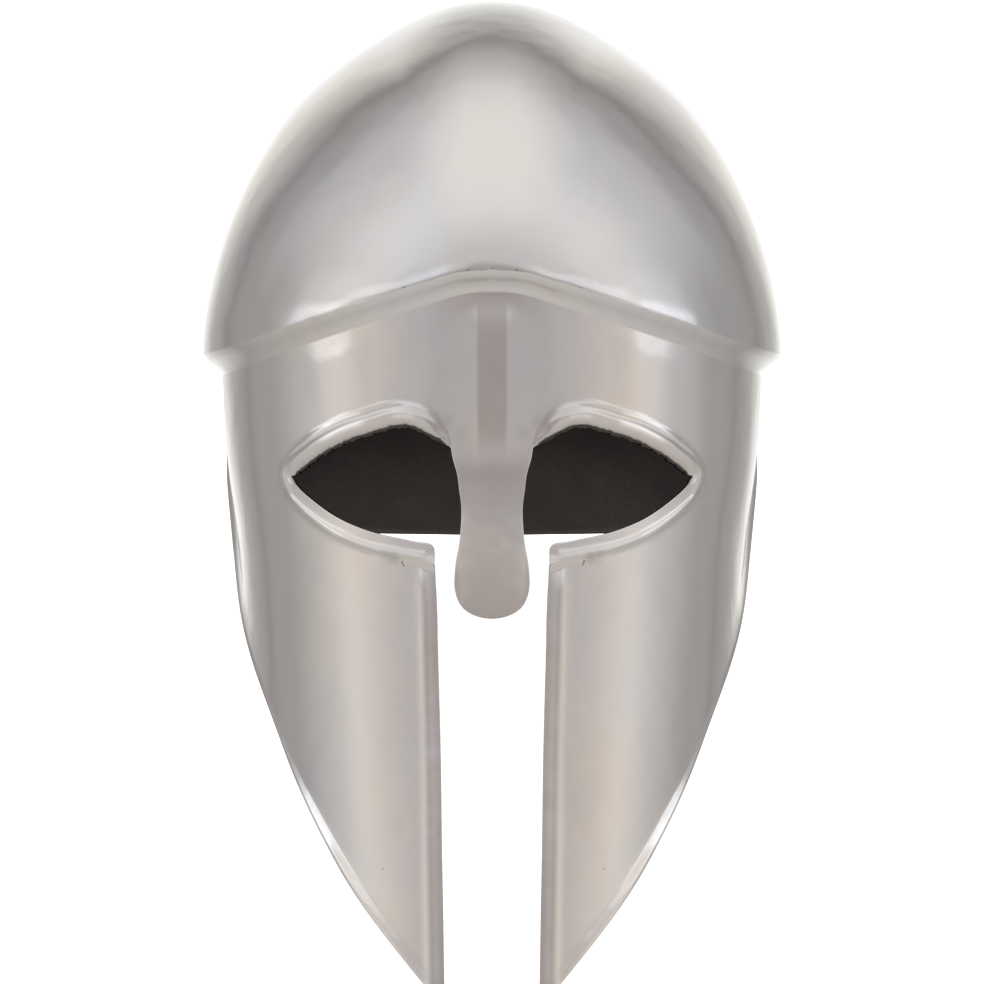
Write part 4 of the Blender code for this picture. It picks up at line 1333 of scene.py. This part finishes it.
class Glow(NamedTuple):
    """How bright, how warm and how pink the room is at an angle from the direction of the viewer."""

    angle: float
    level: float
    warmth: float = 0.0
    blush: float = 0.0

    def colour(self, full: float) -> tuple[float, float, float, float]:
        """Return the glow's colour as a share of the room's full strength."""
        level = self.level / full
        red = 1.0 + WARM_RED * self.warmth + PINK_RED * self.blush
        return level * red, level, level * (1.0 - WARM_BLUE * self.warmth), 1.0


class Band(NamedTuple):
    """A long soft bluish light beside the viewer: angles, heights, upper edge and brightness."""

    start: float
    stop: float
    low: float
    high: float
    edge: float
    level: float


@dataclass(frozen=True)
class Room:
    """The pale room that the steel mirrors: soft walls, a dim gap and a white backdrop behind the helmet.

    The five tables hold its brightness by angle from the viewer, from below to the top. They were first set
    from readings of the photograph's brightness by direction of reflection, and then changed.
    """

    below: tuple[Glow, ...] = (
        Glow(0.0, 0.43, 0.35, 1.4), Glow(10.0, 0.47, 0.35, 1.2), Glow(16.0, 0.61, 0.4, 0.5),
        Glow(35.0, 0.73, 0.4, 0.5), Glow(60.0, 0.76, 0.9, 0.2), Glow(78.0, 0.71, 1.0),
        Glow(95.0, 0.63, 1.0), Glow(118.0, 0.52, 0.6, 0.1), Glow(131.0, 0.45, 0.4, 0.3),
        Glow(141.0, 0.58, 0.4), Glow(150.0, 0.74, 0.6, -0.3), Glow(162.0, 0.95, 0.6, -0.3),
        Glow(180.0, 1.15),
    )
    under: tuple[Glow, ...] = (
        Glow(0.0, 0.45, 0.35, 1.2), Glow(9.5, 0.46, 0.35, 1.0), Glow(14.0, 0.59, -0.2, 0.3),
        Glow(22.0, 0.65, -0.1, 0.3), Glow(33.0, 0.70, 0.2, 0.4), Glow(42.0, 0.75, 0.5, 0.6),
        Glow(52.0, 0.86, 0.9, 0.6), Glow(60.0, 0.93, 0.9, 0.5), Glow(68.0, 0.95, 0.7, 0.3),
        Glow(73.0, 0.91, 0.4), Glow(78.0, 0.84, 0.1), Glow(83.0, 0.78), Glow(89.0, 0.72),
        Glow(96.0, 0.66), Glow(103.0, 0.57), Glow(112.0, 0.49, -0.2), Glow(121.0, 0.49, -0.3, 0.1),
        Glow(128.5, 0.46, -0.3, 0.2), Glow(132.5, 0.36, 0.0, 0.3), Glow(136.0, 0.45, 0.2, 0.2),
        Glow(144.0, 0.48, 0.3, 0.1), Glow(150.0, 0.55, 0.4, 0.1), Glow(153.0, 0.63, 0.5),
        Glow(157.0, 0.84, 0.5), Glow(164.0, 1.14, 0.3), Glow(180.0, 1.35, 0.2),
    )
    level: tuple[Glow, ...] = (
        Glow(0.0, 0.48, 0.35, 1.0), Glow(9.5, 0.49, 0.35, 0.9), Glow(14.0, 0.59, -0.2, 0.2),
        Glow(33.0, 0.66, -0.1, 0.2), Glow(42.0, 0.70, 0.3, 0.3), Glow(52.0, 0.77, 0.8, 0.2),
        Glow(62.0, 0.88, 0.8, 0.2), Glow(72.0, 0.86, 0.3), Glow(80.0, 0.74), Glow(92.0, 0.62),
        Glow(100.0, 0.55), Glow(104.0, 0.49), Glow(115.0, 0.48, 0.05), Glow(125.0, 0.46, 0.05),
        Glow(130.0, 0.44, 0.2, 0.2), Glow(134.0, 0.37, 0.3, 0.4), Glow(138.0, 0.44, 0.3, 0.2),
        Glow(144.0, 0.52, 0.4), Glow(151.0, 0.60, 0.5), Glow(157.0, 0.80, 0.7, -0.3),
        Glow(165.0, 1.02, 0.7, -0.4), Glow(180.0, 1.15, 0.2),
    )
    high: tuple[Glow, ...] = (
        Glow(0.0, 0.50, 0.35, 0.9), Glow(9.5, 0.52, 0.3, 0.7), Glow(13.5, 0.80, -0.1, 0.1),
        Glow(22.0, 0.80, -0.1), Glow(32.0, 0.88, -0.15), Glow(44.0, 0.98, -0.2), Glow(56.0, 1.06, -0.2),
        Glow(70.0, 0.98, -0.2), Glow(90.0, 0.83, -0.4, 0.3), Glow(105.0, 0.75, -0.4, 0.3),
        Glow(114.0, 0.67, -0.6, 0.5), Glow(119.0, 0.58, -0.6, 0.5), Glow(122.0, 0.50, -0.1, 0.4),
        Glow(130.0, 0.45, 0.2, 0.4), Glow(134.0, 0.34, 0.4, 0.5), Glow(138.0, 0.44, 0.4, 0.2),
        Glow(142.0, 0.54, 0.6), Glow(148.0, 0.68, 1.0, -0.1), Glow(157.0, 0.88, 1.1, -0.2),
        Glow(166.0, 1.0, 1.1, -0.3), Glow(176.0, 1.1, 0.4), Glow(180.0, 1.12),
    )
    top: tuple[Glow, ...] = (
        Glow(0.0, 0.50, 0.35, 0.9), Glow(9.5, 0.55, 0.3, 0.6), Glow(13.5, 0.80, 0.3),
        Glow(25.0, 0.84, 0.4), Glow(36.0, 0.97, 0.45), Glow(46.0, 1.09, 0.45), Glow(60.0, 1.14, 0.45),
        Glow(78.0, 1.14, 0.45), Glow(90.0, 1.10, 0.4), Glow(97.0, 1.02, 0.4), Glow(105.0, 0.90, 0.4),
        Glow(113.0, 0.76, 0.4), Glow(121.0, 0.63, 0.4, 0.2), Glow(127.0, 0.52, 0.4, 0.4),
        Glow(131.0, 0.43, 0.4, 0.4), Glow(134.0, 0.35, 0.4, 0.4), Glow(138.0, 0.50, 0.5),
        Glow(143.0, 0.70, 0.6, -0.2), Glow(151.0, 0.94, 0.8, -0.4), Glow(162.0, 1.1, 0.7, -0.4),
        Glow(180.0, 1.15),
    )
    turns: tuple[Span, ...] = ((-0.50, -0.22), (-0.03, 0.07), (0.17, 0.60), (0.82, 0.985))
    gap_bend: tuple[Share, ...] = (
        Share(0.00, 0.0), Share(0.17, -3.0), Share(0.29, 0.0), Share(0.39, 1.0), Share(0.50, 6.0),
        Share(0.63, 12.0), Share(0.77, 16.0), Share(0.92, 16.0), Share(0.956, 7.0), Share(0.985, 0.0),
        Share(1.00, 0.0),
    )
    bend_span: float = 20.0
    bend_low: float = -3.0
    bend_start: float = 60.0
    bend_full: float = 115.0
    band_soft: float = 0.03
    band_lead: float = 0.02
    band_foot: float = 0.012
    band_colour: Colour = (0.96, 1.0, 1.06)
    bands: tuple[Band, ...] = (
        Band(62.0, 92.0, 0.045, 0.110, 0.08, 0.52), Band(18.0, 60.0, 0.10, 0.18, 0.07, 0.34),
        Band(40.0, 90.0, 0.09, 0.26, 0.16, 0.12),
    )
    top_level: float = 2.0

    def ramp(self, nodes: Nodes, share: Socket, glows: tuple[Glow, ...]) -> Socket:
        """Return one run of the room's colours by angle from the viewer."""
        places = [glow.angle / HALF_TURN for glow in glows]
        return self.stops(nodes, share, places, [glow.colour(self.top_level) for glow in glows])

    def stops(
        self, nodes: Nodes, share: Socket, places: Sequence[float], colours: Sequence[Sequence[float]],
    ) -> Socket:
        """Return a run of colours at given places."""
        node = nodes.add("ShaderNodeValToRGB")
        stops = node.color_ramp.elements
        while len(stops) < len(places):
            stops.new(0.5)
        for stop, place, colour in zip(stops, places, colours):
            stop.position = place
            stop.color = colour
        nodes.link(share, node.inputs["Fac"])
        return node.outputs["Color"]

    def bent(self, nodes: Nodes, share: Socket, rise: Socket) -> Socket:
        """Return the angle from the viewer, moved so that the dim gap leans in above the helmet."""
        greys = [(row.value - self.bend_low) / self.bend_span for row in self.gap_bend]
        colours = [(grey, grey, grey, 1.0) for grey in greys]
        move = self.stops(nodes, rise, [row.at for row in self.gap_bend], colours)
        move = nodes.maths("MULTIPLY", move, self.bend_span / HALF_TURN)
        move = nodes.maths("ADD", move, self.bend_low / HALF_TURN)
        limits = (self.bend_start / HALF_TURN, self.bend_full / HALF_TURN)
        weight = nodes.between(share, limits, kind="SMOOTHSTEP")
        return nodes.maths("ADD", share, nodes.maths("MULTIPLY", move, weight))

    def band_glow(self, nodes: Nodes, band: Band, share: Socket, height: Socket) -> Socket:
        """Return the brightness of one long soft light."""
        start, stop = band.start / HALF_TURN, band.stop / HALF_TURN
        limits = (
            (share, (start - self.band_lead, start + self.band_soft), (0.0, 1.0)),
            (share, (stop - self.band_soft, stop + self.band_soft), (1.0, 0.0)),
            (height, (band.low - self.band_foot, band.low + self.band_foot), (0.0, 1.0)),
            (height, (band.high, band.high + band.edge), (1.0, 0.0)),
        )
        glow = None
        for value, old, new in limits:
            part = nodes.between(value, old, new, "SMOOTHSTEP")
            glow = part if glow is None else nodes.maths("MULTIPLY", glow, part)
        level = band.level / self.top_level
        return nodes.mix(glow, (0.0, 0.0, 0.0), tuple(part * level for part in self.band_colour))

    def make(self, stance: Stance) -> bpy.types.World:
        """Return the room as a world, turned with the standing helmet.

        Args:
            stance: How the helmet leans.

        Returns:
            The finished world.
        """
        nodes = Nodes(bpy.data.worlds.new("pale_room"))
        turned = stance.matrix().to_3x3()
        sight = nodes.add("ShaderNodeTexCoord").outputs["Generated"]

        def along(axis: Sequence[float]) -> Socket:
            """Return how far a direction points along an axis of the upright helmet."""
            node = nodes.add("ShaderNodeVectorMath", operation="DOT_PRODUCT")
            node.inputs[1].default_value = turned @ Vector(axis)
            nodes.link(sight, node.inputs[0])
            return node.outputs["Value"]

        angle = nodes.maths("ARCCOSINE", along((0.0, -1.0, 0.0)), 0.0)
        across = nodes.maths("MAXIMUM", nodes.maths("SINE", angle, 0.0), 1e-4)
        height = along((0.0, 0.0, 1.0))
        rise = nodes.maths("DIVIDE", height, across)
        share = nodes.maths("MULTIPLY", angle, 1.0 / math.pi)
        moved = self.bent(nodes, share, rise)
        colour = self.ramp(nodes, moved, self.below)
        for glows, turn in zip((self.under, self.level, self.high, self.top), self.turns):
            mixing = nodes.between(rise, turn, kind="SMOOTHSTEP")
            colour = nodes.mix(mixing, colour, self.ramp(nodes, moved, glows))
        for band in self.bands:
            colour = nodes.mix(1.0, colour, self.band_glow(nodes, band, share, height), "ADD")
        background = nodes.tree.nodes["Background"]
        background.inputs["Strength"].default_value = self.top_level
        nodes.link(colour, background.inputs["Color"])
        return nodes.owner


@dataclass
class Studio:
    """Plain pale floor, soft light and the camera of the photo's view."""

    stance: Stance
    camera_reach: float = 1.6
    camera_height: float = 171.0 * MM
    focal_length: float = 164.43
    sensor: float = 36.0
    floor_size: float = 8.0
    floor_glow: float = 1.0
    floor_roughness: float = 0.6
    floor_light: Colour = (0.83, 0.83, 0.83)
    floor_dark: Colour = (0.81, 0.81, 0.81)
    floor_mottle: Texture = Texture(6.0, 3.0)
    room: Room = Room()
    lights: tuple[Softbox, ...] = (
        Softbox("top_box", (0.0, 0.1, 1.6), (0.0, 0.0, 0.1), 1.4, 1.2, 4.0),
    )

    def floor(self) -> None:
        """Lay the floor."""
        nodes = Nodes(bpy.data.materials.new("pale_floor"))
        fine = nodes.between(nodes.noise(self.floor_mottle), MIDDLE)
        nodes.dress({
            "Base Color": nodes.mix(fine, self.floor_light, self.floor_dark),
            "Roughness": self.floor_roughness, "Emission Color": (*WHITE, 1.0),
            "Emission Strength": self.floor_glow,
        })
        ground = bmesh.new()
        bmesh.ops.create_grid(ground, x_segments=1, y_segments=1, size=self.floor_size / 2.0)
        data = bpy.data.meshes.new("floor")
        ground.to_mesh(data)
        ground.free()
        data.materials.append(nodes.owner)
        floor = bpy.data.objects.new("floor", data)
        floor.visible_glossy = False
        bpy.context.scene.collection.objects.link(floor)

    def softboxes(self) -> None:
        """Hang the soft lights."""
        for box in self.lights:
            data = bpy.data.lights.new(box.name, "AREA")
            data.shape = "RECTANGLE"
            data.size = box.width
            data.size_y = box.height
            data.energy = box.power
            data.color = box.colour
            light = bpy.data.objects.new(box.name, data)
            light.matrix_world = aim(box.place, box.target)
            light.visible_glossy = False
            bpy.context.scene.collection.objects.link(light)

    def camera(self) -> None:
        """Set up the camera, level with the helmet's own upright frame as in the photo."""
        data = bpy.data.cameras.new("camera")
        data.lens = self.focal_length
        data.sensor_width = self.sensor
        data.clip_start = 0.05
        data.clip_end = 60.0
        camera = bpy.data.objects.new("camera", data)
        place = Matrix.Translation((0.0, -self.camera_reach, self.camera_height))
        camera.matrix_world = self.stance.matrix() @ place @ Matrix.Rotation(math.pi / 2.0, 4, "X")
        bpy.context.scene.collection.objects.link(camera)
        bpy.context.scene.camera = camera

    def build(self) -> None:
        """Build the whole studio."""
        self.floor()
        bpy.context.scene.world = self.room.make(self.stance)
        self.softboxes()
        self.camera()
        bpy.context.scene.view_settings.view_transform = "Standard"


def main() -> None:
    """Build the helmet's pieces and the studio round them."""
    logging.basicConfig(level=logging.INFO, format="%(name)s: %(message)s")
    form = Form()
    stance = Stance()
    inside = DarkInside("dark_inside").make()
    cut = CutEdge("cut_edge").make()

    def finishes(steel: PolishedSteel) -> dict[Surface, bpy.types.Material]:
        """Return a piece's finishes by surface."""
        return {Surface.OUTSIDE: steel.make(), Surface.INSIDE: inside, Surface.CUT_EDGE: cut}

    skull_steel = PolishedSteel("skull_steel", smooth=0.085, dull=0.15, marks=Skull.marks)
    face_steel = PolishedSteel(
        "face_steel", cool=(0.629, 0.612, 0.613), warm=(0.662, 0.612, 0.570), hammered=0.22 * MM,
        raw_edge=True, marks=FaceMask.marks,
    )
    sheets = (
        Skull(form, stance, "skull_sheet", "skull", finishes(skull_steel)),
        FaceMask(form, stance, "face_sheet", "face_mask", finishes(face_steel)),
        NeckGuard(form, stance, "neck_sheet", "neck_guard", finishes(PolishedSteel("neck_steel"))),
    )
    for sheet in sheets:
        piece = sheet.build()
        LOG.info("%s: %d faces", piece.name, len(piece.data.polygons))
    Studio(stance).build()


if __name__ == "__main__":
    main()
